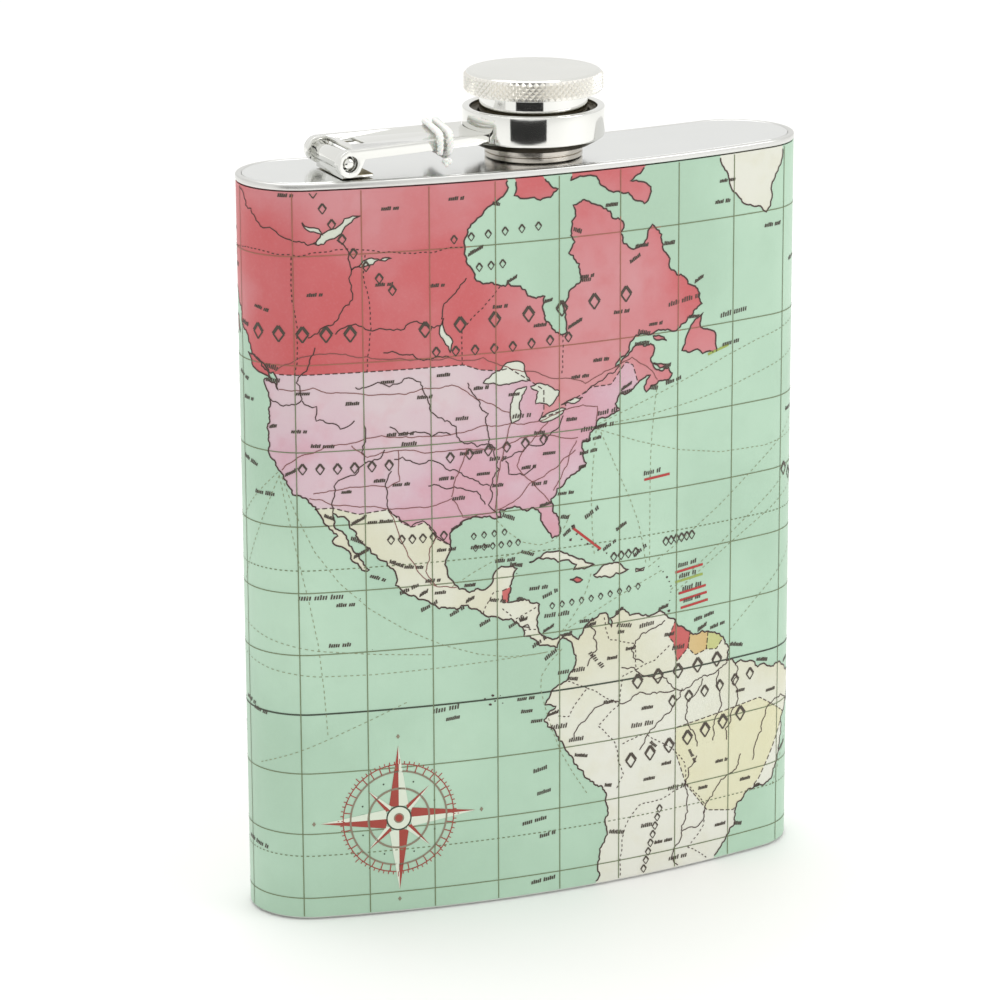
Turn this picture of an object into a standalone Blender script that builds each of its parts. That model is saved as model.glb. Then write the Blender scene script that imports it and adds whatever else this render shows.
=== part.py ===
"""Hip flask of 8 fl oz with a captive screw cap on a swinging arm.

The body is a curved tube of stainless steel closed by two welded plates and
wrapped in a printed sheet. A threaded neck stands in the top plate. The cap
turns inside a collar, and the collar's arm swings on a pin beside the neck.

Frame: +Z up, the base on z = 0, the origin under the middle of the section.
The convex front faces -Y, and the hinge is on the -X side.
"""

import math

import bmesh
import bpy
from mathutils import Matrix, Vector

MM = 0.001

# --- Body section: four tangent arcs ----------------------------------------
WIDTH = 95.0 * MM
THICKNESS = 22.0 * MM  # at the middle
FRONT_RADIUS = 168.0 * MM
END_RADIUS = 10.0 * MM
HEIGHT = 120.5 * MM  # base to top plate
FRONT_STEPS = 22
END_STEPS = 11
BACK_STEPS = 18

# --- Body walls --------------------------------------------------------------
WRAP = 0.25 * MM  # printed sheet
WRAP_GAP = 0.15 * MM
WRAP_BOTTOM = 0.5 * MM
RIM = 1.1 * MM  # bare steel band above the sheet
RIM_ROUND = 0.25 * MM
WALL = 0.6 * MM
PLATE = 0.8 * MM
GAP = 0.3 * MM

# --- Neck --------------------------------------------------------------------
NECK_X = 0.6 * MM
AXIS_Y = -0.3 * MM  # neck, arm and hinge share this plane
NECK_FLANGE_R = 7.75 * MM
NECK_FLANGE_H = 1.95 * MM
NECK_TOP = 9.0 * MM  # above the top plate
NECK_BORE_R = 4.9 * MM
NECK_ROOT_R = 5.55 * MM
NECK_CREST_R = 6.0 * MM
NECK_STUB = 1.8 * MM  # below the top plate's upper face
THREAD_PITCH = 1.8 * MM
THREAD_LEVELS = 14
ROUND_STEPS = 40

# --- Collar ------------------------------------------------------------------
COLLAR_R = 11.25 * MM
COLLAR_TOP = 8.07 * MM
COLLAR_INNER_R = 10.05 * MM
COLLAR_LIP_R = 8.85 * MM
COLLAR_BOTTOM = 1.95 * MM
CHAMFER_TOP = 3.35 * MM
SHELF_TOP = 7.3 * MM
SHELF_BOTTOM = 6.65 * MM

# --- Cap ---------------------------------------------------------------------
KNOB_R = 11.05 * MM
KNURL_DEPTH = 0.4 * MM
KNURL_BOTTOM = 10.44 * MM
KNURL_TOP = 13.47 * MM
KNOB_TOP = 13.75 * MM
KNURL_ROWS = 3
KNURL_COUNT = 44
SHANK_R = 8.55 * MM
SHANK_INNER_R = 7.75 * MM
SHANK_BOTTOM = 2.6 * MM
SLEEVE_R = 7.5 * MM
SLEEVE_ROOT_R = 7.1 * MM
SLEEVE_CREST_R = 6.75 * MM
SLEEVE_TOP = 9.1 * MM
GASKET_TOP = 10.9 * MM
GASKET_R = 7.2 * MM
CEILING = 11.2 * MM
GROOVE_R = 8.25 * MM
RING_INNER_R = 8.4 * MM
RING_OUTER_R = 9.7 * MM
RING_BOTTOM = 3.15 * MM
RING_TOP = 3.95 * MM
RING_SPLIT = math.radians(14.0)

# --- Hinge and arm -----------------------------------------------------------
PIN_X = -33.3 * MM
PIN_Z = 2.7 * MM  # above the top plate
PIN_R = 0.85 * MM
EAR_R = 2.1 * MM
EAR_BORE_R = 1.3 * MM
EAR_THICK = 1.35 * MM
ARM_HALF_HINGE = 7.1 * MM
ARM_HALF_COLLAR = 5.5 * MM
ARM_SHEET = 0.6 * MM
ARM_FLANGE = 1.6 * MM
ARM_RISE = 0.4 * MM  # from the pin to the collar
WEB_START = 1.0 * MM  # from the pin
EAR_END = 2.6 * MM  # from the pin
SLOT_START = 2.0 * MM  # from the pin
SLOT_LENGTH = 2.3 * MM
SLOT_WIDTH = 4.8 * MM
BARREL_R = 1.5 * MM
BARREL_BORE_R = 1.1 * MM
FOOT_THICK = 0.5 * MM
FOOT_LIFT = 0.15 * MM
FOOT_END = 7.5 * MM  # from the pin, towards the neck

# --- String ------------------------------------------------------------------
STRING_R = 0.52 * MM
STRING_CLEAR = 0.3 * MM
STRING_NEAR_X = -18.2 * MM
STRING_FAR_X = -16.0 * MM
STRING_STEP = 1.7 * MM  # from one turn to the next
STRING_TURN_POINTS = 20
STRING_START = -0.08  # in turns, from the middle of the near side
STRING_END = 1.86
STRING_SQUARE = 0.32  # 1 for an ellipse, less for a squarer turn
KNOT_R = 0.85 * MM


# =============================================================================
# Helpers
# =============================================================================
def clear_scene():
    for obj in list(bpy.data.objects):
        bpy.data.objects.remove(obj, do_unlink=True)


def principled(name, colour, roughness, metallic):
    material = bpy.data.materials.new(name)
    material.use_nodes = True
    shader = material.node_tree.nodes["Principled BSDF"]
    shader.inputs["Base Color"].default_value = (*colour, 1.0)
    shader.inputs["Roughness"].default_value = roughness
    shader.inputs["Metallic"].default_value = metallic
    return material


def link(name, mesh, material, origin=(0.0, 0.0, 0.0)):
    """Put a mesh drawn in world coordinates on an object with the given origin."""
    mesh.transform(Matrix.Translation(-Vector(origin)))
    obj = bpy.data.objects.new(name, mesh)
    obj.location = origin
    bpy.context.scene.collection.objects.link(obj)
    mesh.materials.append(material)
    mesh.shade_smooth()
    mesh.set_sharp_from_angle(angle=math.radians(32.0))
    return obj


def mesh_from(bm, name):
    bmesh.ops.recalc_face_normals(bm, faces=bm.faces)
    mesh = bpy.data.meshes.new(name)
    bm.to_mesh(mesh)
    bm.free()
    return mesh


def lofted(name, rings, closed):
    """Skin rings of points. A closed loft joins the last ring to the first."""
    bm = bmesh.new()
    loops = [[bm.verts.new(point) for point in ring] for ring in rings]
    pairs = list(zip(loops, loops[1:]))
    if closed:
        pairs.append((loops[-1], loops[0]))
    for low, high in pairs:
        count = len(low)
        for i in range(count):
            j = (i + 1) % count
            bm.faces.new((low[i], low[j], high[j], high[i]))
    if not closed:
        bm.faces.new(list(reversed(loops[0])))
        bm.faces.new(loops[-1])
    return mesh_from(bm, name)


def circle(radius, z, centre=(0.0, 0.0), steps=ROUND_STEPS):
    """A ring of points round Z. The radius is a number or a function of the angle."""
    points = []
    for i in range(steps):
        angle = 2.0 * math.pi * i / steps
        r = radius(angle) if callable(radius) else radius
        x = centre[0] + r * math.cos(angle)
        y = centre[1] + r * math.sin(angle)
        points.append((x, y, z))
    return points


def turned(name, profile, centre, closed=True):
    """Turn a profile of (radius, z) pairs round the vertical line at centre."""
    return lofted(name, [circle(r, z, centre) for r, z in profile], closed)


def extruded_y(name, outline, y0, y1):
    """Push an outline of (x, z) pairs from y0 to y1."""
    bm = bmesh.new()
    face = bm.faces.new([bm.verts.new((x, y0, z)) for x, z in outline])
    moved = bmesh.ops.extrude_face_region(bm, geom=[face])["geom"]
    corners = [item for item in moved if isinstance(item, bmesh.types.BMVert)]
    bmesh.ops.translate(bm, verts=corners, vec=(0.0, y1 - y0, 0.0))
    return mesh_from(bm, name)


def rod_y(name, radius, x, z, y0, y1, steps=28):
    """A round bar along Y."""
    outline = []
    for i in range(steps):
        angle = 2.0 * math.pi * i / steps
        outline.append((x + radius * math.cos(angle), z + radius * math.sin(angle)))
    return extruded_y(name, outline, y0, y1)


def box_mesh(name, low, high):
    outline = [(low[0], low[2]), (high[0], low[2]), (high[0], high[2]), (low[0], high[2])]
    return extruded_y(name, outline, low[1], high[1])


def cut(obj, mesh, operation="DIFFERENCE"):
    """Cut a mesh drawn in world coordinates out of an object, or join it on."""
    cutter = bpy.data.objects.new(f"{obj.name}_{mesh.name}", mesh)
    bpy.context.scene.collection.objects.link(cutter)
    cutter.hide_render = True
    cutter.display_type = "WIRE"
    modifier = obj.modifiers.new(mesh.name, "BOOLEAN")
    modifier.operation = operation
    modifier.solver = "EXACT"
    modifier.object = cutter


# =============================================================================
# Body section
# =============================================================================
def section(inset):
    """The kidney outline, set in from the sheet's outer face, as (x, y) pairs."""
    half = THICKNESS / 2.0
    front_y = FRONT_RADIUS - half
    end_x = WIDTH / 2.0 - END_RADIUS
    reach = FRONT_RADIUS - END_RADIUS
    end_y = front_y - math.sqrt(reach**2 - end_x**2)
    rise = half - end_y
    back_radius = (END_RADIUS**2 - rise**2 - end_x**2) / (2.0 * (rise - END_RADIUS))
    back_y = back_radius + half
    front_angle = math.asin(end_x / reach)
    back_angle = math.asin(end_x / (back_radius + END_RADIUS))

    points = []
    for i in range(FRONT_STEPS):
        angle = -front_angle + 2.0 * front_angle * i / FRONT_STEPS
        r = FRONT_RADIUS - inset
        points.append((r * math.sin(angle), front_y - r * math.cos(angle)))
    start = front_angle - math.pi / 2.0
    sweep = math.pi + back_angle - front_angle
    for i in range(END_STEPS):
        angle = start + sweep * i / END_STEPS
        r = END_RADIUS - inset
        points.append((end_x + r * math.cos(angle), end_y + r * math.sin(angle)))
    for i in range(BACK_STEPS):
        angle = back_angle - 2.0 * back_angle * i / BACK_STEPS
        r = back_radius + inset
        points.append((r * math.sin(angle), back_y - r * math.cos(angle)))
    for i in range(END_STEPS):
        angle = math.pi - start - sweep + sweep * i / END_STEPS
        r = END_RADIUS - inset
        points.append((-end_x + r * math.cos(angle), end_y + r * math.sin(angle)))
    return points


def level(inset, z):
    return [(x, y, z) for x, y in section(inset)]


def build_shell(steel):
    """The tube, with a fuller rim above the sheet and rounded edges."""
    sunk = WRAP + WRAP_GAP
    inner = sunk + WALL
    top = HEIGHT
    rings = [
        level(sunk + RIM_ROUND, 0.0),
        level(sunk, RIM_ROUND),
        level(sunk, top - RIM),
        level(0.0, top - RIM + 0.2 * MM),
        level(0.0, top - RIM_ROUND),
        level(RIM_ROUND, top),
        level(inner, top),
        level(inner, 0.0),
    ]
    link("body_shell", lofted("body_shell", rings, closed=True), steel)


def build_plates(steel):
    """The two end plates, each let into the tube."""
    edge = WRAP + WRAP_GAP + WALL + GAP
    top_rings = [level(edge, HEIGHT - PLATE), level(edge, HEIGHT)]
    top = link("top_plate", lofted("top_plate", top_rings, closed=False), steel)
    hole_r = NECK_ROOT_R + 2.0 * GAP
    hole = [(hole_r, HEIGHT - 3.0 * PLATE), (hole_r, HEIGHT + PLATE)]
    cut(top, turned("neck_hole", hole, (NECK_X, AXIS_Y), closed=False))

    bottom_rings = [level(edge, 0.0), level(edge, PLATE)]
    link("bottom_plate", lofted("bottom_plate", bottom_rings, closed=False), steel)


def build_wrap(paper):
    """The printed sheet: one strip round the tube, butted at the left end."""
    outer = section(0.0)
    inner = section(WRAP)
    seam = FRONT_STEPS + END_STEPS + BACK_STEPS + END_STEPS // 2
    count = len(outer)
    order = [(seam + i) % count for i in range(count)]
    low = WRAP_BOTTOM
    high = HEIGHT - RIM - GAP / 2.0

    def shorten(path):
        """Pull the strip's last point back from the seam."""
        points = [path[i] for i in order]
        last = Vector(path[order[0]])
        before = Vector(points[-1])
        pull = GAP / 2.0
        points.append(tuple(last + (before - last).normalized() * pull))
        return points

    strip = [shorten(outer), shorten(inner)]
    rings = []
    for out_point, in_point in zip(*strip):
        rings.append(
            [
                (out_point[0], out_point[1], low),
                (out_point[0], out_point[1], high),
                (in_point[0], in_point[1], high),
                (in_point[0], in_point[1], low),
            ]
        )
    link("map_wrap", lofted("map_wrap", rings, closed=False), paper)


# =============================================================================
# Neck
# =============================================================================
def thread_profile(phase):
    """Height of a rounded thread, 0 to 1, at a phase counted in turns."""
    wave = 0.5 + 0.5 * math.cos(2.0 * math.pi * phase)
    return wave**1.4


def threaded_rings(root, crest, low, high, centre):
    """Rings whose radius follows a right-hand helix and runs out at both ends."""
    rings = []
    for i in range(THREAD_LEVELS + 1):
        z = low + (high - low) * i / THREAD_LEVELS
        fade = min(1.0, 4.0 * i / THREAD_LEVELS, 4.0 * (1.0 - i / THREAD_LEVELS))

        def radius(angle, z=z, fade=fade):
            phase = (z - low) / THREAD_PITCH - angle / (2.0 * math.pi)
            return root + (crest - root) * fade * thread_profile(phase)

        rings.append(circle(radius, z, centre))
    return rings


def build_neck(steel):
    """Flange, threaded spout and the stub that stands in the top plate's hole."""
    centre = (NECK_X, AXIS_Y)
    base = HEIGHT + GAP / 2.0
    stub_r = NECK_ROOT_R + GAP
    tip = HEIGHT + NECK_TOP
    lead = 0.6 * MM
    rings = [
        circle(NECK_BORE_R, HEIGHT - NECK_STUB, centre),
        circle(stub_r, HEIGHT - NECK_STUB, centre),
        circle(stub_r, base, centre),
        circle(NECK_FLANGE_R, base, centre),
        circle(NECK_FLANGE_R, HEIGHT + NECK_FLANGE_H - RIM_ROUND, centre),
        circle(NECK_FLANGE_R - RIM_ROUND, HEIGHT + NECK_FLANGE_H, centre),
        circle(NECK_ROOT_R, HEIGHT + NECK_FLANGE_H, centre),
    ]
    low = HEIGHT + NECK_FLANGE_H + lead
    rings += threaded_rings(NECK_ROOT_R, NECK_CREST_R, low, tip - lead, centre)
    rings += [
        circle(NECK_ROOT_R - RIM_ROUND, tip, centre),
        circle(NECK_BORE_R, tip, centre),
    ]
    link("neck_spout", lofted("neck_spout", rings, closed=True), steel, (*centre, HEIGHT))


# =============================================================================
# Hinge
# =============================================================================
def arc(radius, centre, first, last, steps):
    """Points (x, z) on an arc, both ends included, angles in degrees."""
    points = []
    for i in range(steps + 1):
        angle = math.radians(first + (last - first) * i / steps)
        x = centre[0] + radius * math.cos(angle)
        z = centre[1] + radius * math.sin(angle)
        points.append((x, z))
    return points


def pin_centre():
    return (PIN_X, HEIGHT + PIN_Z)


def build_bracket(steel):
    """A rolled barrel on a foot that lies on the top plate, with a stop tab."""
    half = ARM_HALF_HINGE - EAR_THICK - GAP
    low = HEIGHT + FOOT_LIFT
    high = low + FOOT_THICK
    end = PIN_X + FOOT_END
    tab = FOOT_THICK
    tab_top = HEIGHT + 2.9 * MM
    tab_x = PIN_X + SLOT_START + SLOT_LENGTH / 2.0
    outline = arc(BARREL_R, pin_centre(), -60.0, 240.0, 26)
    outline += [
        (PIN_X - BARREL_R * 0.5, low),
        (end, low),
        (end, high),
        (tab_x + tab, high),
        (tab_x + tab, tab_top),
        (tab_x, tab_top),
        (tab_x, high),
        (PIN_X + BARREL_R * 0.5, high),
    ]
    mesh = extruded_y("hinge_bracket", outline, AXIS_Y - half, AXIS_Y + half)
    obj = link("hinge_bracket", mesh, steel, (PIN_X, AXIS_Y, HEIGHT + PIN_Z))
    bore = rod_y("bore", BARREL_BORE_R, *pin_centre(), AXIS_Y - 2 * half, AXIS_Y + 2 * half)
    cut(obj, bore)
    for side in (-1.0, 1.0):
        y0, y1 = sorted((AXIS_Y + side * SLOT_WIDTH * 0.35, AXIS_Y + side * 2.0 * half))
        low_corner = (tab_x - tab, y0, high)
        high_corner = (tab_x + 2.0 * tab, y1, tab_top + tab)
        cut(obj, box_mesh(f"tab_side_{'lr'[side > 0]}", low_corner, high_corner))


def build_pin(steel):
    length = ARM_HALF_HINGE - 0.3 * MM
    mesh = rod_y("hinge_pin", PIN_R, *pin_centre(), AXIS_Y - length, AXIS_Y + length, 24)
    link("hinge_pin", mesh, steel, (PIN_X, AXIS_Y, HEIGHT + PIN_Z))


# =============================================================================
# Arm and collar
# =============================================================================
def arm_top(x):
    """Height of the arm's upper face over the top plate."""
    span = (NECK_X - COLLAR_R) - PIN_X
    return PIN_Z + EAR_R + ARM_RISE * (x - PIN_X) / span


def arm_half(x):
    """Half the arm's width at x."""
    span = (NECK_X - COLLAR_R) - PIN_X
    return ARM_HALF_HINGE + (ARM_HALF_COLLAR - ARM_HALF_HINGE) * (x - PIN_X) / span


def tapered(name, outline, wall):
    """An (x, z) outline pushed out to the arm's tapering sides, less a wall."""
    mesh = extruded_y(name, outline, AXIS_Y - 1.0, AXIS_Y + 1.0)
    for vertex in mesh.vertices:
        side = math.copysign(1.0, vertex.co.y - AXIS_Y)
        vertex.co.y = AXIS_Y + side * (arm_half(vertex.co.x) - wall)
    return mesh


def build_arm(steel):
    """A folded strip: a flat web with a flange down each side and round ears."""
    end = NECK_X
    outline = arc(EAR_R, pin_centre(), 90.0, 320.0, 22)
    outline += [
        (PIN_X + EAR_END, HEIGHT + arm_top(PIN_X + EAR_END) - ARM_FLANGE),
        (end, HEIGHT + arm_top(end) - ARM_FLANGE),
        (end, HEIGHT + arm_top(end)),
    ]
    obj = link("link_arm", tapered("link_arm", outline, 0.0), steel, (PIN_X, AXIS_Y, HEIGHT + PIN_Z))

    # The gap between the ears, open above the barrel.
    below = HEIGHT - PLATE
    above = HEIGHT + PIN_Z + 2.0 * EAR_R
    left = PIN_X - 2.0 * EAR_R
    web_x = PIN_X + WEB_START
    right = PIN_X + EAR_END
    gap = [
        (left, below),
        (right, below),
        (right, HEIGHT + arm_top(right) - ARM_SHEET),
        (web_x, HEIGHT + arm_top(web_x) - ARM_SHEET),
        (web_x, above),
        (left, above),
    ]
    inner = ARM_HALF_HINGE - EAR_THICK
    cut(obj, extruded_y("knuckle_gap", gap, AXIS_Y - inner, AXIS_Y + inner))

    # The channel between the flanges.
    start = right - GAP
    stop = end + 2.0 * GAP
    web = ARM_SHEET + 0.05 * MM
    channel = [
        (start, below - PLATE),
        (stop, below - PLATE),
        (stop, HEIGHT + arm_top(stop) - web),
        (start, HEIGHT + arm_top(start) - web),
    ]
    cut(obj, tapered("channel", channel, ARM_SHEET))

    wide = 2.0 * ARM_HALF_HINGE
    cut(obj, rod_y("ear_bore", EAR_BORE_R, *pin_centre(), AXIS_Y - wide, AXIS_Y + wide))

    slot_x = PIN_X + SLOT_START
    slot_low = (slot_x, AXIS_Y - SLOT_WIDTH / 2.0, HEIGHT + PIN_Z)
    slot_high = (slot_x + SLOT_LENGTH, AXIS_Y + SLOT_WIDTH / 2.0, above)
    cut(obj, box_mesh("slot", slot_low, slot_high))

    seat_r = COLLAR_R + GAP
    seat = [(seat_r, below), (seat_r, HEIGHT + 2.0 * COLLAR_TOP)]
    cut(obj, turned("collar_seat", seat, (NECK_X, AXIS_Y), closed=False))


def build_collar(steel):
    """The captive ring: an inner shelf holds the cap down, a lip closes it."""
    z = HEIGHT
    soft = RIM_ROUND
    profile = [
        (COLLAR_LIP_R, z + COLLAR_BOTTOM),
        (COLLAR_R, z + CHAMFER_TOP),
        (COLLAR_R, z + COLLAR_TOP - soft),
        (COLLAR_R - soft, z + COLLAR_TOP),
        (COLLAR_INNER_R, z + COLLAR_TOP),
        (COLLAR_INNER_R, z + SHELF_TOP),
        (COLLAR_LIP_R, z + SHELF_TOP),
        (COLLAR_LIP_R, z + SHELF_BOTTOM),
        (COLLAR_INNER_R, z + SHELF_BOTTOM),
        (COLLAR_INNER_R, z + CHAMFER_TOP),
        (COLLAR_LIP_R, z + COLLAR_BOTTOM + 0.75 * MM),
    ]
    mesh = turned("captive_collar", profile, (NECK_X, AXIS_Y))
    link("captive_collar", mesh, steel, (PIN_X, AXIS_Y, HEIGHT + PIN_Z))


# =============================================================================
# Cap
# =============================================================================
def knurl_rings(centre):
    """Rings of a diamond knurl: every second column steps half a diamond down."""
    rings = []
    levels = 2 * KNURL_ROWS
    columns = 2 * KNURL_COUNT
    for row in range(levels + 1):
        z = HEIGHT + KNURL_BOTTOM + (KNURL_TOP - KNURL_BOTTOM) * row / levels
        ring = []
        for column in range(columns):
            angle = 2.0 * math.pi * column / columns
            raised = (row + column) % 2 == 0 and 0 < row < levels
            r = KNOB_R if raised else KNOB_R - KNURL_DEPTH
            ring.append((centre[0] + r * math.cos(angle), centre[1] + r * math.sin(angle), z))
        rings.append(ring)
    return rings


def build_knob(steel):
    """The knurled knob and its shank in one turned piece, hollow from below."""
    centre = (NECK_X, AXIS_Y)
    z = HEIGHT
    columns = 2 * KNURL_COUNT

    def ring(radius, height):
        return circle(radius, z + height, centre, columns)

    rings = [
        ring(SHANK_INNER_R, CEILING),
        ring(SHANK_INNER_R, SHANK_BOTTOM),
        ring(SHANK_R, SHANK_BOTTOM),
        ring(SHANK_R, RING_BOTTOM - 0.2 * MM),
        ring(GROOVE_R, RING_BOTTOM - 0.2 * MM),
        ring(GROOVE_R, RING_TOP + 0.2 * MM),
        ring(SHANK_R, RING_TOP + 0.2 * MM),
        ring(SHANK_R, KNURL_BOTTOM - 0.2 * MM),
        ring(SHANK_R + 0.3 * MM, KNURL_BOTTOM - 0.05 * MM),
    ]
    rings += knurl_rings(centre)
    rings += [ring(KNOB_R - 2.0 * KNURL_DEPTH, KNOB_TOP - 0.05 * MM)]
    rings += [ring(KNOB_R * 0.5, KNOB_TOP)]
    mesh = lofted("cap_knob", rings, closed=False)
    link("cap_knob", mesh, steel, (*centre, HEIGHT + KNURL_BOTTOM))


def build_sleeve(steel):
    """The internally threaded sleeve that is pressed into the shank."""
    centre = (NECK_X, AXIS_Y)
    low = HEIGHT + SHANK_BOTTOM
    high = HEIGHT + SLEEVE_TOP
    inner = threaded_rings(SLEEVE_ROOT_R, SLEEVE_CREST_R, low, high, centre)
    rings = [circle(SLEEVE_R, high, centre), circle(SLEEVE_R, low, centre)] + inner
    mesh = lofted("cap_sleeve", rings, closed=True)
    link("cap_sleeve", mesh, steel, (*centre, HEIGHT + KNURL_BOTTOM))


def build_gasket(rubber):
    """The sealing washer over the neck's rim."""
    z = HEIGHT
    profile = [
        (NECK_BORE_R - 2.0 * MM, z + SLEEVE_TOP + GAP),
        (GASKET_R, z + SLEEVE_TOP + GAP),
        (GASKET_R, z + GASKET_TOP),
        (NECK_BORE_R - 2.0 * MM, z + GASKET_TOP),
    ]
    mesh = turned("cap_gasket", profile, (NECK_X, AXIS_Y))
    link("cap_gasket", mesh, rubber, (NECK_X, AXIS_Y, HEIGHT + KNURL_BOTTOM))


def build_retaining_ring(steel):
    """A split spring ring in the shank's groove, below the collar's shelf."""
    rings = []
    steps = ROUND_STEPS
    low = HEIGHT + RING_BOTTOM
    high = HEIGHT + RING_TOP
    for i in range(steps + 1):
        angle = RING_SPLIT / 2.0 + (2.0 * math.pi - RING_SPLIT) * i / steps
        ring = []
        for r, z in ((RING_INNER_R, low), (RING_OUTER_R, low), (RING_OUTER_R, high), (RING_INNER_R, high)):
            ring.append((NECK_X + r * math.cos(angle), AXIS_Y + r * math.sin(angle), z))
        rings.append(ring)
    mesh = lofted("retaining_ring", rings, closed=False)
    link("retaining_ring", mesh, steel, (NECK_X, AXIS_Y, low))


# =============================================================================
# String round the arm
# =============================================================================
def string_point(turn):
    """The string's centreline after some turns round the arm, from the near side."""
    clear = STRING_CLEAR + STRING_R
    angle = 2.0 * math.pi * turn
    # A squared circle: the string lies flat on the web and bends at the flanges.
    wave_y = -math.cos(angle)
    wave_z = math.sin(angle)
    side = math.copysign(abs(wave_y) ** STRING_SQUARE, wave_y)
    rise = math.copysign(abs(wave_z) ** STRING_SQUARE, wave_z)
    across = 0.5 + 0.5 * side
    x = STRING_NEAR_X + (STRING_FAR_X - STRING_NEAR_X) * across + STRING_STEP * turn
    half = arm_half(x) + clear
    top = arm_top(x) + clear
    low = arm_top(x) - ARM_FLANGE - clear
    z = (top + low) / 2.0 + rise * (top - low) / 2.0
    # The last half turn comes back below the others, to the knot.
    late = max(0.0, turn - 1.5) / (STRING_END - 1.5)
    x += late * (STRING_NEAR_X + STRING_STEP - x)
    z -= late * 2.1 * STRING_R
    return Vector((x, AXIS_Y + side * half, HEIGHT + z))


def knot_centre():
    """Outside and below the near flange, between the string's two turns."""
    near = string_point(0.0)
    low = string_point(STRING_END)
    x = STRING_NEAR_X + STRING_STEP / 2.0
    return Vector((x, near.y - STRING_R, low.z))


def build_string(cotton):
    """Two turns of cotton string, both ends in one knot under the near flange."""
    turns = STRING_END - STRING_START
    count = round(STRING_TURN_POINTS * turns)
    curve = bpy.data.curves.new("string_wrap", "CURVE")
    curve.dimensions = "3D"
    curve.bevel_depth = STRING_R
    curve.bevel_resolution = 2
    curve.use_fill_caps = True
    spline = curve.splines.new("POLY")
    spline.points.add(count)
    for i in range(count + 1):
        turn = STRING_START + turns * i / count
        spline.points[i].co = (*string_point(turn), 1.0)
    curve.materials.append(cotton)
    obj = bpy.data.objects.new("string_wrap", curve)
    bpy.context.scene.collection.objects.link(obj)


def build_knot(cotton):
    bm = bmesh.new()
    bmesh.ops.create_icosphere(bm, subdivisions=2, radius=KNOT_R)
    bmesh.ops.translate(bm, verts=bm.verts, vec=knot_centre())
    link("string_knot", mesh_from(bm, "string_knot"), cotton, tuple(knot_centre()))


# =============================================================================
# Assembly
# =============================================================================
def main():
    clear_scene()
    polished = principled("polished_steel", (0.82, 0.82, 0.80), 0.08, 1.0)
    brushed = principled("brushed_steel", (0.62, 0.62, 0.60), 0.35, 1.0)
    chrome = principled("chrome", (0.85, 0.85, 0.84), 0.05, 1.0)
    printed = principled("printed_paper", (0.45, 0.72, 0.62), 0.45, 0.0)
    silicone = principled("silicone", (0.75, 0.75, 0.72), 0.6, 0.0)
    cotton = principled("cotton", (0.92, 0.92, 0.90), 0.9, 0.0)

    build_shell(brushed)
    build_plates(polished)
    build_wrap(printed)
    build_neck(polished)
    build_bracket(chrome)
    build_pin(chrome)
    build_arm(chrome)
    build_collar(chrome)
    build_knob(chrome)
    build_sleeve(polished)
    build_gasket(silicone)
    build_retaining_ring(polished)
    build_string(cotton)
    build_knot(cotton)


main()
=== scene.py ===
import math
import random

import bmesh
import bpy
import numpy as np
from mathutils import Matrix, Vector, geometry


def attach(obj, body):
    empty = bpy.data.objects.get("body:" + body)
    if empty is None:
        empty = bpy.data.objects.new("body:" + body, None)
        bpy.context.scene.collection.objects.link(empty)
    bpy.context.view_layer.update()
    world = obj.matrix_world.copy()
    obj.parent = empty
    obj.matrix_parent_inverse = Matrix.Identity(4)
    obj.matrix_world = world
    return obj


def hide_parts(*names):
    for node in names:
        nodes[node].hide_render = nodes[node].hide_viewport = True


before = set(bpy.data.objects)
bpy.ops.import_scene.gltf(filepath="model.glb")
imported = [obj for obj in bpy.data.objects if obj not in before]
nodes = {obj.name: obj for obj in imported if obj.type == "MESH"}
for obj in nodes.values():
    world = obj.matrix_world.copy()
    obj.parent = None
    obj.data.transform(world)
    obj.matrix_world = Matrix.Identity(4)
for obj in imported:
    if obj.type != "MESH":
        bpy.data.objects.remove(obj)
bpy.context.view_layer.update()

# A steel hip flask in a printed map sheet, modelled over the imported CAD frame.
# Metres, +Z up, the base on z = 0, the convex front towards -Y. The map itself
# is drawn flat, in millimetres along the sheet and up it, and then wrapped.

MM = 0.001

# --- Sizes the CAD model settles ---------------------------------------------
WIDTH = 95.0 * MM
THICKNESS = 22.0 * MM
FRONT_RADIUS = 168.0 * MM
END_RADIUS = 10.0 * MM
HEIGHT = 120.5 * MM
WRAP = 0.25 * MM
WRAP_BOTTOM = 0.5 * MM
SUNK = 0.4 * MM  # the tube below the bare band
RIM = 1.1 * MM
WALL = 0.6 * MM
PLATE = 0.8 * MM
AXIS = Vector((0.6 * MM, -0.3 * MM, HEIGHT))  # foot of the neck's axis

PIN = Vector((-33.3 * MM, AXIS.y, HEIGHT + 2.7 * MM))
EAR_R = 2.1 * MM
ARM_HALF_HINGE = 7.1 * MM
ARM_HALF_COLLAR = 5.5 * MM
ARM_SHEET = 0.6 * MM
ARM_FLANGE = 1.6 * MM
ARM_RISE = 0.4 * MM
EAR_THICK = 1.35 * MM
COLLAR_R = 11.25 * MM
SLOT_START = 2.0 * MM
SLOT_LENGTH = 2.3 * MM
SLOT_WIDTH = 4.8 * MM

# --- The sheet's own layers ---------------------------------------------------
PAPER_INSET = 0.05 * MM  # the paper's face
INK_INSET = 0.0  # the ink's face, proud of the paper
SHEET_TOP = HEIGHT - RIM - 0.12 * MM
PRESS = 0.92  # how light the printed washes are


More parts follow.
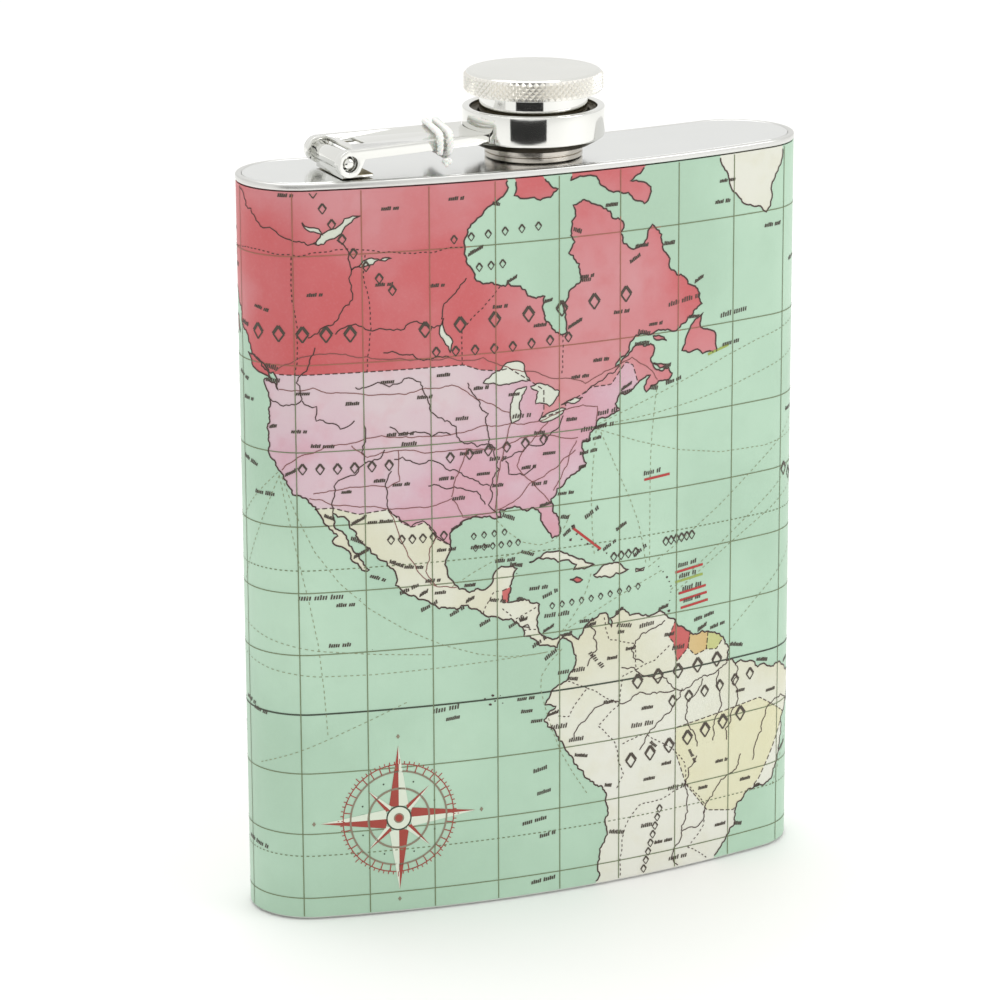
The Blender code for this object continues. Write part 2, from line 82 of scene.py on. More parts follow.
# =============================================================================
# Materials
# =============================================================================
class Value:
    """A number inside a material, so that + - * / and ** write Math nodes."""

    def __init__(self, tree, socket):
        self.tree = tree
        self.socket = socket

    def maths(self, operation, *items):
        node = self.tree.nodes.new("ShaderNodeMath")
        node.operation = operation
        for item, socket in zip(items, node.inputs):
            if isinstance(item, Value):
                self.tree.links.new(item.socket, socket)
            else:
                socket.default_value = item
        return Value(self.tree, node.outputs[0])

    def __add__(self, other):
        return self.maths("ADD", self, other)

    def __radd__(self, other):
        return self.maths("ADD", other, self)

    def __sub__(self, other):
        return self.maths("SUBTRACT", self, other)

    def __rsub__(self, other):
        return self.maths("SUBTRACT", other, self)

    def __mul__(self, other):
        return self.maths("MULTIPLY", self, other)

    def __rmul__(self, other):
        return self.maths("MULTIPLY", other, self)

    def __truediv__(self, other):
        return self.maths("DIVIDE", self, other)

    def __rtruediv__(self, other):
        return self.maths("DIVIDE", other, self)

    def __pow__(self, other):
        return self.maths("POWER", self, other)

    def __rpow__(self, other):
        return self.maths("POWER", other, self)

    def __abs__(self):
        return self.maths("ABSOLUTE", self)

    def clamp(self, low=0.0, high=1.0):
        return self.maths("MAXIMUM", self.maths("MINIMUM", self, high), low)


class Finish:
    """One material: its Principled shader and the nodes that feed it."""

    def __init__(self, name, colour, roughness, metallic=0.0):
        self.material = bpy.data.materials.new(name)
        self.material.use_nodes = True
        self.tree = self.material.node_tree
        self.shader = self.tree.nodes["Principled BSDF"]
        self.shader.inputs["Base Color"].default_value = (*colour, 1.0)
        self.shader.inputs["Roughness"].default_value = roughness
        self.shader.inputs["Metallic"].default_value = metallic
        self.place = self.node("ShaderNodeTexCoord", "Object")

    def node(self, kind, output, settings=None, **inputs):
        """Add a node, fill its named sockets and return one output."""
        made = self.tree.nodes.new(kind)
        for key, value in (settings or {}).items():
            setattr(made, key, value)
        for key, value in inputs.items():
            socket = made.inputs[key.replace("_", " ")]
            if isinstance(value, Value):
                self.tree.links.new(value.socket, socket)
            elif value is not None:
                socket.default_value = value
        return Value(self.tree, made.outputs[output])

    def set(self, name, value):
        self.tree.links.new(value.socket, self.shader.inputs[name])

    def noise(self, scale, detail=3.0, stretch=(1.0, 1.0, 1.0), shift=0.0):
        place = self.node(
            "ShaderNodeMapping",
            "Vector",
            Vector=self.place,
            Scale=stretch,
            Location=(shift, shift, shift),
        )
        return self.node("ShaderNodeTexNoise", "Fac", Vector=place, Scale=scale, Detail=detail)

    def axis(self, name):
        return self.node("ShaderNodeSeparateXYZ", name, Vector=self.place)

    def mix(self, factor, first, second):
        """Blend two colours, each a tuple or an earlier blend."""
        node = self.tree.nodes.new("ShaderNodeMix")
        node.data_type = "RGBA"
        self.tree.links.new(factor.socket, node.inputs[0])
        for item, socket in ((first, node.inputs[6]), (second, node.inputs[7])):
            if isinstance(item, Value):
                self.tree.links.new(item.socket, socket)
            else:
                socket.default_value = (*item, 1.0)
        return Value(self.tree, node.outputs[2])

    def bump(self, height, distance, strength=1.0):
        self.set(
            "Normal",
            self.node(
                "ShaderNodeBump", "Normal", Height=height, Distance=distance, Strength=strength
            ),
        )


def bright_metal(name, colour, roughness, smudge=0.05, scratch=0.0015):
    """Plated or polished metal with faint smudges and hairline scratches."""
    finish = Finish(name, colour, roughness, metallic=1.0)
    cloud = finish.noise(90.0, 4.0)
    hair = finish.noise(900.0, 2.0, stretch=(0.15, 1.0, 2.2))
    finish.set("Roughness", roughness + smudge * (cloud - 0.35).clamp() + 0.03 * hair)
    darker = tuple(0.93 * c for c in colour)
    finish.set("Base Color", finish.mix(cloud, colour, darker))
    finish.bump(hair, scratch * MM)
    return finish.material


def brushed_metal(name, colour, roughness, stretch):
    """Steel with a fine grain drawn out along the brushing."""
    finish = Finish(name, colour, roughness, metallic=1.0)
    grain = finish.noise(2600.0, 3.0, stretch=stretch)
    cloud = finish.noise(70.0, 3.0)
    darker = tuple(0.84 * c for c in colour)
    finish.set("Base Color", finish.mix(grain, darker, colour))
    finish.set("Roughness", roughness + 0.14 * (grain - 0.5) + 0.08 * (cloud - 0.5))
    finish.bump(grain, 0.004 * MM)
    return finish.material


def turned_metal(name, colour, roughness):
    """Nickel turned on a lathe: rings round the neck's axis."""
    finish = Finish(name, colour, roughness, metallic=1.0)
    across = finish.axis("X") - AXIS.x
    along = finish.axis("Y") - AXIS.y
    radius = (across * across + along * along) ** 0.5
    rings = finish.node(
        "ShaderNodeTexNoise",
        "Fac",
        {"noise_dimensions": "1D"},
        W=radius * 4200.0,
        Scale=1.0,
        Detail=3.0,
    )
    cloud = finish.noise(110.0, 4.0)
    darker = tuple(0.9 * c for c in colour)
    finish.set("Base Color", finish.mix(cloud, colour, darker))
    finish.set("Roughness", roughness + 0.08 * (rings - 0.5) + 0.06 * (cloud - 0.5))
    finish.bump(rings, 0.003 * MM)
    return finish.material


def printed(name, main, pale, deep, spread=26.0, lean=None):
    """A wash of printed colour on paper, uneven as an old map's, under a satin film.

    A lean makes it paler with height and deeper towards the right, about a middle point.
    """
    main, pale, deep = (tuple(PRESS * c for c in colour) for colour in (main, pale, deep))
    finish = Finish(name, main, 0.42)
    cloud = finish.noise(spread, 4.0, shift=len(name) * 0.37)
    if lean:
        across, rise, middle_x, middle_z = lean
        cloud = cloud + (finish.axis("Z") - middle_z) * rise
        cloud = cloud - (finish.axis("X") - middle_x) * across
    blot = finish.noise(spread * 7.0, 4.0, shift=1.7)
    grain = finish.noise(2300.0, 2.0)
    wash = finish.mix(((cloud - 0.42) * 4.0).clamp(), main, pale)
    wash = finish.mix(((0.5 - cloud) * 4.5).clamp() * 0.8, wash, deep)
    wash = finish.mix(((blot - 0.5) * 2.6).clamp() * 0.45, wash, deep)
    finish.set("Base Color", finish.mix((grain - 0.5).clamp() * 0.5, wash, pale))
    finish.set("Roughness", 0.38 + 0.1 * grain + 0.05 * cloud)
    finish.bump(grain, 0.004 * MM)
    finish.shader.inputs["Coat Weight"].default_value = 0.12
    finish.shader.inputs["Coat Roughness"].default_value = 0.25
    return finish.material


def ink(name, colour):
    """One flat printing ink. It is uneven only in its gloss, so that lines stay sharp."""
    finish = Finish(name, colour, 0.5)
    grain = finish.noise(1800.0, 2.0)
    finish.set("Roughness", 0.42 + 0.16 * grain)
    return finish.material


def cotton():
    """Soft white yarn with a fibrous surface."""
    finish = Finish("cotton_yarn", (0.86, 0.87, 0.83), 0.9)
    fibre = finish.noise(3400.0, 4.0, stretch=(1.0, 0.4, 0.4))
    cloud = finish.noise(420.0, 3.0)
    finish.set("Base Color", finish.mix(fibre * 0.7, (0.95, 0.95, 0.92), (0.72, 0.73, 0.69)))
    finish.set("Roughness", 0.85 + 0.1 * cloud)
    finish.bump(fibre + 0.6 * cloud, 0.06 * MM)
    finish.shader.inputs["Sheen Weight"].default_value = 0.4
    finish.shader.inputs["Subsurface Weight"].default_value = 0.15
    finish.shader.inputs["Subsurface Scale"].default_value = 0.4 * MM
    return finish.material


def rubber():
    """Pale silicone with a moulded, slightly dusty face."""
    finish = Finish("moulded_silicone", (0.62, 0.62, 0.58), 0.55)
    grain = finish.noise(1500.0, 3.0)
    finish.set("Base Color", finish.mix(grain, (0.66, 0.66, 0.62), (0.54, 0.54, 0.5)))
    finish.set("Roughness", 0.5 + 0.2 * grain)
    finish.bump(grain, 0.01 * MM)
    return finish.material


CHROME = bright_metal("nickel_plate", (0.86, 0.86, 0.83), 0.055)
POLISHED = bright_metal("polished_plate", (0.83, 0.84, 0.83), 0.13, smudge=0.09)
TURNED = turned_metal("turned_nickel", (0.86, 0.86, 0.82), 0.2)
BRUSHED = brushed_metal("brushed_tube", (0.76, 0.76, 0.74), 0.3, (0.04, 0.04, 1.0))
KNURLED = bright_metal("knurled_nickel", (0.9, 0.88, 0.83), 0.22, smudge=0.08)
# Steel browner and darker than the rest: a painted brownish reflection on the neck and its flange.
NECK = brushed_metal("neck_steel_painted_reflection", (0.66, 0.62, 0.56), 0.2, (1.0, 1.0, 6.0))
# Near-black metal for the collar's recess: painted shade in the gap.
RECESS_PAINTED_SHADE = brushed_metal("recess_painted_shade", (0.1, 0.085, 0.055), 0.45, (1.0, 1.0, 4.0))
# Dark brown metal for the bracket's foot and tab: painted shade below the ear.
LEAF_PAINTED_SHADE = brushed_metal("leaf_painted_shade", (0.3, 0.25, 0.15), 0.38, (1.0, 0.1, 1.0))
INNER = brushed_metal("inner_steel", (0.6, 0.6, 0.58), 0.32, (1.0, 1.0, 0.1))


# =============================================================================
# Mesh helpers
# =============================================================================
def piece(name, mesh, body, slot, *stands_for):
    """Put a finished mesh in the scene as a piece that rides on a CAD body."""
    obj = bpy.data.objects.new(name, mesh)
    bpy.context.scene.collection.objects.link(obj)
    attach(obj, body)
    if stands_for:
        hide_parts(*stands_for)
    return obj


def to_mesh(bm, name, materials, sharp=30.0):
    """Turn a bmesh into a smooth-shaded mesh with sharp edges past an angle."""
    mesh = bpy.data.meshes.new(name)
    bm.to_mesh(mesh)
    bm.free()
    for material in materials:
        mesh.materials.append(material)
    mesh.shade_smooth()
    if sharp:
        mesh.set_sharp_from_angle(angle=math.radians(sharp))
    return mesh


def loop_of(bm, points):
    """A closed loop of edges through the points."""
    verts = [bm.verts.new(point) for point in points]
    return [bm.edges.new((verts[i - 1], verts[i])) for i in range(len(verts))]


def loft(bm, rings, closed=False, caps=False, turn=0):
    """Extrude the first ring through the others.

    A closed loft joins the last ring to the first, turned on by some points.
    """
    edges = loop_of(bm, rings[0])
    verts = [edge.verts[1] for edge in edges]
    first = (verts, edges)
    joint = [rings[0][turn:] + rings[0][:turn]] if closed else []
    for ring in rings[1:] + joint:
        made = bmesh.ops.extrude_edge_only(bm, edges=edges)["geom"]
        fresh = {item for item in made if isinstance(item, bmesh.types.BMVert)}
        over = {}
        for vert in verts:
            ends = (edge.other_vert(vert) for edge in vert.link_edges)
            over[vert] = next(end for end in ends if end in fresh)
        verts = [over[vert] for vert in verts]
        for vert, point in zip(verts, ring):
            vert.co = point
        edges = [bm.edges.get((verts[i - 1], verts[i])) for i in range(len(verts))]
    if closed:
        goal = first[0][turn:] + first[0][:turn]
        bmesh.ops.weld_verts(bm, targetmap=dict(zip(verts, goal)))
    if caps:
        bmesh.ops.contextual_create(bm, geom=first[1])
        bmesh.ops.contextual_create(bm, geom=edges)
    bmesh.ops.recalc_face_normals(bm, faces=bm.faces)


def rounded(points, radius, steps=4):
    """A closed outline with each corner eased by a small curve."""
    outline = []
    for i, corner in enumerate(points):
        here = Vector(corner)
        back = Vector(points[i - 1]) - here
        ahead = Vector(points[(i + 1) % len(points)]) - here
        first = here + back.normalized() * min(radius, 0.45 * back.length)
        last = here + ahead.normalized() * min(radius, 0.45 * ahead.length)
        for k in range(steps + 1):
            t = k / steps
            outline.append(first * (1 - t) ** 2 + here * (2 * t * (1 - t)) + last * t**2)
    return outline


def spun(name, profile, materials, steps=112):
    """Spin a closed profile of (radius, height) pairs round the neck's axis."""
    bm = bmesh.new()
    loop_of(bm, [AXIS + Vector((r, 0.0, z)) for r, z in profile])
    bmesh.ops.spin(
        bm,
        geom=bm.verts[:] + bm.edges[:],
        cent=AXIS,
        axis=(0.0, 0.0, 1.0),
        angle=math.tau,
        steps=steps,
        use_merge=True,
    )
    bmesh.ops.recalc_face_normals(bm, faces=bm.faces)
    return to_mesh(bm, name, materials)


def circle(radius, z, steps):
    """A ring round the neck's axis. The radius is a number or a function of the angle."""
    points = []
    for i in range(steps):
        angle = math.tau * i / steps
        r = radius(angle) if callable(radius) else radius
        points.append(AXIS + Vector((r * math.cos(angle), r * math.sin(angle), z)))
    return points


def slab(outline, y0, y1):
    """An outline of (x, z) pairs pushed from y0 to y1."""
    bm = bmesh.new()
    face = bm.faces.new([bm.verts.new((x, y0, z)) for x, z in outline])
    moved = bmesh.ops.extrude_face_region(bm, geom=[face])["geom"]
    corners = [item for item in moved if isinstance(item, bmesh.types.BMVert)]
    bmesh.ops.translate(bm, verts=corners, vec=(0.0, y1 - y0, 0.0))
    bmesh.ops.recalc_face_normals(bm, faces=bm.faces)
    mesh = bpy.data.meshes.new("slab")
    bm.to_mesh(mesh)
    bm.free()
    return mesh


def arc(radius, first, last, steps, centre=PIN):
    """Points (x, z) on an arc, in degrees, both ends included."""
    points = []
    for i in range(steps + 1):
        angle = math.radians(first + (last - first) * i / steps)
        x = centre.x + radius * math.cos(angle)
        points.append((x, centre.z + radius * math.sin(angle)))
    return points


def bar(radius, half, steps=40):
    """A round bar along the hinge."""
    return slab(arc(radius, 0.0, 360.0 * (1 - 1 / steps), steps - 1), AXIS.y - half, AXIS.y + half)


def carved(name, solid, cutters, soften, material, segments=3):
    """Cut solids out of a solid and round what is left."""
    obj = bpy.data.objects.new(name, solid)
    helpers = [bpy.data.objects.new("cutter", mesh) for mesh in cutters]
    for item in [obj, *helpers]:
        bpy.context.scene.collection.objects.link(item)
    for helper in helpers:
        modifier = obj.modifiers.new("cut", "BOOLEAN")
        modifier.operation = "DIFFERENCE"
        modifier.solver = "EXACT"
        modifier.object = helper
    bevel = obj.modifiers.new("soften", "BEVEL")
    bevel.width = soften
    bevel.segments = segments
    bevel.limit_method = "ANGLE"
    bevel.angle_limit = math.radians(35.0)
    bevel.miter_outer = "MITER_ARC"
    bevel.harden_normals = True
    graph = bpy.context.evaluated_depsgraph_get()
    mesh = bpy.data.meshes.new_from_object(obj.evaluated_get(graph))
    for item in [obj, *helpers]:
        bpy.data.objects.remove(item)
    mesh.materials.clear()
    mesh.materials.append(material)
    mesh.shade_smooth()
    mesh.set_sharp_from_angle(angle=math.radians(40.0))
    return mesh


def tube(bm, path, radius, sides=8, closed=False):
    """Sweep a circle along points, without twisting it."""
    rings = []
    side = None
    count = len(path)
    for i, point in enumerate(path):
        ahead = path[(i + 1) % count] if closed else path[min(i + 1, count - 1)]
        behind = path[i - 1] if closed else path[max(i - 1, 0)]
        along = (ahead - behind).normalized()
        if side is None:
            side = along.orthogonal().normalized()
        side = (side - along * side.dot(along)).normalized()
        other = along.cross(side)
        ring = []
        for k in range(sides):
            angle = math.tau * k / sides
            ring.append(point + radius * (side * math.cos(angle) + other * math.sin(angle)))
        rings.append(ring)
    turn = 0
    if closed:
        turn = min(range(sides), key=lambda k: (rings[0][k] - rings[-1][0]).length)
    loft(bm, rings, closed=closed, caps=not closed, turn=turn)


# =============================================================================
# Body section
# =============================================================================
class Section:
    """The kidney outline of four tangent arcs, measured from the front's middle."""

    def __init__(self):
        half = THICKNESS / 2.0
        self.front_y = FRONT_RADIUS - half
        self.end_x = WIDTH / 2.0 - END_RADIUS
        reach = FRONT_RADIUS - END_RADIUS
        self.end_y = self.front_y - math.sqrt(reach**2 - self.end_x**2)
        rise = half - self.end_y
        self.back_radius = (END_RADIUS**2 - rise**2 - self.end_x**2) / (2.0 * (rise - END_RADIUS))
        self.back_y = self.back_radius + half
        self.front_angle = math.asin(self.end_x / reach)
        self.back_angle = math.asin(self.end_x / (self.back_radius + END_RADIUS))
        self.start = self.front_angle - math.pi / 2.0
        self.sweep = math.pi + self.back_angle - self.front_angle
        self.front = self.front_angle * FRONT_RADIUS
        self.end = self.sweep * END_RADIUS
        self.half_round = self.front + self.end + self.back_angle * self.back_radius
        self.seam = -(self.front + self.end * 6.0 / 11.0)

    def at(self, along, inset=0.0):
        """The point (x, y) that lies this far along the outer face, set in by inset."""
        along = (along + self.half_round) % (2.0 * self.half_round) - self.half_round
        side = math.copysign(1.0, along)
        run = abs(along)
        if run <= self.front:
            angle = run / FRONT_RADIUS
            r = FRONT_RADIUS - inset
            return Vector((side * r * math.sin(angle), self.front_y - r * math.cos(angle)))
        if run <= self.front + self.end:
            angle = self.start + (run - self.front) / END_RADIUS
            r = END_RADIUS - inset
            x = self.end_x + r * math.cos(angle)
            return Vector((side * x, self.end_y + r * math.sin(angle)))
        angle = (self.half_round - run) / self.back_radius
        r = self.back_radius + inset
        return Vector((side * r * math.sin(angle), self.back_y - r * math.cos(angle)))

    def normal(self, x, y):
        """The outward direction at a point on or near the outline."""
        side = math.copysign(1.0, x)
        angle = math.atan2(y - self.end_y, abs(x) - self.end_x)
        if self.start <= angle <= self.start + self.sweep:
            return Vector((side * math.cos(angle), math.sin(angle), 0.0))
        if y < self.end_y:
            return Vector((x, y - self.front_y, 0.0)).normalized()
        return Vector((-x, self.back_y - y, 0.0)).normalized()

    def stations(self, flat_step, end_step):
        """Distances once round the outline from the seam, closer at the ends."""
        marks = [self.seam]
        total = 2.0 * self.half_round
        while marks[-1] < self.seam + total:
            middle = (marks[-1] + self.half_round) % total - self.half_round
            tight = self.front - flat_step < abs(middle) < self.front + self.end + flat_step
            marks.append(marks[-1] + (end_step if tight else flat_step))
        return marks[:-1]

    def ring(self, inset, z, flat_step=3.0 * MM, end_step=0.7 * MM):
        return [(*self.at(s, inset), z) for s in self.stations(flat_step, end_step)]


section = Section()


def build_shell():
    """The tube: sunk for the sheet, with a bare rolled rim above it."""
    inner = SUNK + WALL
    top = HEIGHT
    profile = rounded(
        [
            (inner, 0.0),
            (SUNK, 0.0),
            (SUNK, top - RIM),
            (0.0, top - RIM + 0.1 * MM),
            (0.0, top),
            (inner, top),
        ],
        0.32 * MM,
    )
    bm = bmesh.new()
    loft(bm, [section.ring(inset, z) for inset, z in profile], closed=True)
    mesh = to_mesh(bm, "flask_tube", [BRUSHED], sharp=50.0)
    piece("flask_tube", mesh, "flask", "brushed_steel", "body_shell")


def plate_mesh(name, low, high, hole_radius, material):
    """A plate that fills the tube's end, with a hole if it has a radius."""
    bm = bmesh.new()
    edge = SUNK + WALL + 0.02 * MM
    edges = loop_of(bm, section.ring(edge, low))
    if hole_radius:
        shift = Vector((0.0, 0.0, low - HEIGHT))
        edges += loop_of(bm, [p + shift for p in circle(hole_radius, 0.0, 64)])
    bmesh.ops.triangle_fill(bm, edges=edges, use_beauty=True, use_dissolve=False)
    moved = bmesh.ops.extrude_face_region(bm, geom=bm.faces[:])["geom"]
    corners = [item for item in moved if isinstance(item, bmesh.types.BMVert)]
    bmesh.ops.translate(bm, verts=corners, vec=(0.0, 0.0, high - low))
    rims = [e for e in bm.edges if len(e.link_faces) == 2 and e.calc_face_angle(0.0) > 1.0]
    bmesh.ops.bevel(
        bm,
        geom=rims,
        offset=0.14 * MM,
        offset_type="OFFSET",
        segments=2,
        profile=0.5,
        affect="EDGES",
        material=-1,
    )
    bmesh.ops.recalc_face_normals(bm, faces=bm.faces)
    return to_mesh(bm, name, [material], sharp=12.0)


def build_plates():
    top = plate_mesh("top_end", HEIGHT - PLATE, HEIGHT - 0.02 * MM, 6.15 * MM, POLISHED)
    piece("top_end", top, "flask", "polished_steel", "top_plate")
    bottom = plate_mesh("bottom_end", 0.0, PLATE, None, BRUSHED)
    piece("bottom_end", bottom, "flask", "polished_steel", "bottom_plate")


# =============================================================================
# Neck, hinge, arm and collar
# =============================================================================
PITCH = 1.8 * MM  # of the neck's thread


def build_neck():
    """A turned flange and a spout with a rounded thread."""
    steps = 96
    levels = 44
    root = 5.55 * MM
    crest = 6.0 * MM
    bore = 4.9 * MM
    low = 2.55 * MM
    high = 8.4 * MM
    rings = [circle(bore, -1.8 * MM, steps), circle(5.85 * MM, -1.8 * MM, steps)]
    rings.append(circle(5.85 * MM, 0.1 * MM, steps))
    flange = [(7.6, 0.1), (7.75, 0.25), (7.75, 0.85), (7.5, 0.95), (7.5, 1.1), (7.75, 1.2)]
    flange += [(7.75, 1.75), (7.55, 1.95), (5.7, 1.95), (5.55, 2.1)]
    for r, z in flange:
        rings.append(circle(r * MM, z * MM, steps))
    for i in range(levels + 1):
        z = low + (high - low) * i / levels
        fade = min(1.0, 5.0 * i / levels, 5.0 * (1.0 - i / levels))

        def radius(angle, z=z, fade=fade):
            phase = (z - low) / PITCH - angle / math.tau
            return root + (crest - root) * fade * (0.5 + 0.5 * math.cos(math.tau * phase)) ** 1.4

        rings.append(circle(radius, z, steps))
    for r, z in ((5.5, 8.75), (5.3, 9.0), (5.05, 9.0), (4.9, 8.8)):
        rings.append(circle(r * MM, z * MM, steps))
    bm = bmesh.new()
    loft(bm, rings, closed=True)
    mesh = to_mesh(bm, "neck", [NECK], sharp=38.0)
    piece("neck", mesh, "flask", "polished_steel", "neck_spout")


FOOT_END = 4.4 * MM  # from the pin, towards the neck


def build_bracket():
    """A leaf rolled round the pin, on a foot, with a stop tab under the slot."""
    half = ARM_HALF_HINGE - EAR_THICK - 0.3 * MM
    low = HEIGHT + 0.15 * MM
    high = low + 0.5 * MM
    tab = 0.5 * MM
    tab_x = PIN.x + SLOT_START + SLOT_LENGTH / 2.0
    tab_top = HEIGHT + 2.9 * MM
    roll = 1.5 * MM
    outline = arc(roll, -60.0, 240.0, 36)
    outline += [
        (PIN.x - roll * 0.5, low),
        (PIN.x + FOOT_END, low),
        (PIN.x + FOOT_END, high),
        (tab_x + tab, high),
        (tab_x + tab, tab_top),
        (tab_x, tab_top),
        (tab_x, high),
        (PIN.x + roll * 0.5, high),
    ]
    cutters = [bar(1.1 * MM, 2.0 * half)]
    for side in (-1.0, 1.0):
        near, far = AXIS.y + side * SLOT_WIDTH * 0.35, AXIS.y + side * 2.0 * half
        box = [
            (tab_x - tab, high),
            (tab_x + 2.0 * tab, high),
            (tab_x + 2.0 * tab, tab_top + tab),
            (tab_x - tab, tab_top + tab),
        ]
        cutters.append(slab(box, min(near, far), max(near, far)))
    solid = slab(outline, AXIS.y - half, AXIS.y + half)
    mesh = carved("hinge_leaf", solid, cutters, 0.1 * MM, CHROME)
    mesh.materials.append(LEAF_PAINTED_SHADE)
    # The foot and tab, right of the roll, get the painted shade.
    for polygon in mesh.polygons:
        if polygon.center.x > PIN.x + roll + 0.1 * MM:
            polygon.material_index = 1
    piece("hinge_leaf", mesh, "flask", "chrome", "hinge_bracket")


def build_pin():
    """The hinge pin, its ends domed and set in a little."""
    bm = bmesh.new()
    half = ARM_HALF_HINGE - 0.3 * MM
    profile = [(0.35, 1.0), (0.68, 0.96), (0.85, 0.86), (0.85, -0.86), (0.68, -0.96), (0.35, -1.0)]
    rings = []
    for r, share in profile:
        reach = half - (1.0 - abs(share)) * 2.0 * MM
        ring = []
        for i in range(36):
            angle = math.tau * i / 36
            y = AXIS.y + math.copysign(reach, share)
            ring.append((PIN.x + r * MM * math.cos(angle), y, PIN.z + r * MM * math.sin(angle)))
        rings.append(ring)
    loft(bm, rings, caps=True)
    mesh = to_mesh(bm, "pin", [CHROME], sharp=50.0)
    piece("pin", mesh, "flask", "chrome", "hinge_pin")


def arm_top(x):
    """Height of the arm's upper face over the top plate."""
    span = (AXIS.x - COLLAR_R) - PIN.x
    return PIN.z - HEIGHT + EAR_R + ARM_RISE * (x - PIN.x) / span


def arm_half(x):
    """Half the arm's width at x."""
    span = (AXIS.x - COLLAR_R) - PIN.x
    return ARM_HALF_HINGE + (ARM_HALF_COLLAR - ARM_HALF_HINGE) * (x - PIN.x) / span


def tapered(outline, wall):
    """A slab as wide as the tapering arm, less a wall on each side."""
    mesh = slab(outline, AXIS.y - 1.0, AXIS.y + 1.0)
    for vertex in mesh.vertices:
        side = math.copysign(1.0, vertex.co.y - AXIS.y)
        vertex.co.y = AXIS.y + side * (arm_half(vertex.co.x) - wall)
    return mesh


def build_arm():
    """A folded strip: a web, a flange down each side, and an ear round each pin end."""
    end = AXIS.x
    ear_end = PIN.x + 2.6 * MM
    outline = arc(EAR_R, 90.0, 320.0, 34)
    outline += [
        (ear_end, HEIGHT + arm_top(ear_end) - ARM_FLANGE),
        (end, HEIGHT + arm_top(end) - ARM_FLANGE),
        (end, HEIGHT + arm_top(end)),
    ]
    below = HEIGHT - PLATE
    above = PIN.z + 2.0 * EAR_R
    left = PIN.x - 2.0 * EAR_R
    web_x = PIN.x + 1.0 * MM
    gap = [
        (left, below),
        (ear_end, below),
        (ear_end, HEIGHT + arm_top(ear_end) - ARM_SHEET),
        (web_x, HEIGHT + arm_top(web_x) - ARM_SHEET),
        (web_x, above),
        (left, above),
    ]
    inner = ARM_HALF_HINGE - EAR_THICK
    start = ear_end - 0.3 * MM
    stop = end + 0.6 * MM
    web = ARM_SHEET + 0.05 * MM
    channel = [
        (start, below - PLATE),
        (stop, below - PLATE),
        (stop, HEIGHT + arm_top(stop) - web),
        (start, HEIGHT + arm_top(start) - web),
    ]
    slot_x = PIN.x + SLOT_START
    slot = [
        (slot_x, PIN.z),
        (slot_x + SLOT_LENGTH, PIN.z),
        (slot_x + SLOT_LENGTH, above),
        (slot_x, above),
    ]
    seat = bmesh.new()
    radius = COLLAR_R + 0.12 * MM
    loft(seat, [circle(radius, -PLATE, 96), circle(radius, 20.0 * MM, 96)], caps=True)
    seat_mesh = bpy.data.meshes.new("seat")
    seat.to_mesh(seat_mesh)
    seat.free()
    cutters = [
        slab(gap, AXIS.y - inner, AXIS.y + inner),
        tapered(channel, ARM_SHEET),
        bar(1.3 * MM, 2.0 * ARM_HALF_HINGE),
        slab(slot, AXIS.y - SLOT_WIDTH / 2.0, AXIS.y + SLOT_WIDTH / 2.0),
        seat_mesh,
    ]
    mesh = carved("arm", tapered(outline, 0.0), cutters, 0.22 * MM, CHROME)
    piece("arm", mesh, "arm", "chrome", "link_arm")


def build_collar():
    """The captive ring, with its inner shelf, rolled lip and bevelled foot. Its shelf and inner wall
    carry painted shade: a near-black metal that makes the recess look dark.
    """
    profile = [
        (8.85, 1.95),
        (11.25, 3.35),
        (11.25, 8.07),
        (10.05, 8.07),
        (10.05, 7.3),
        (8.85, 7.3),
        (8.85, 6.65),
        (10.05, 6.65),
        (10.05, 3.35),
        (8.85, 2.7),
    ]
    outline = rounded([(r * MM, z * MM) for r, z in profile], 0.28 * MM)
    mesh = spun("collar", outline, [CHROME, RECESS_PAINTED_SHADE])
    # The shelf and the inner wall above it get the painted shade.
    for polygon in mesh.polygons:
        centre = polygon.center - AXIS
        if centre.to_2d().length < 10.12 * MM and centre.z < 7.9 * MM:
            polygon.material_index = 1
    piece("collar", mesh, "arm", "chrome", "captive_collar")


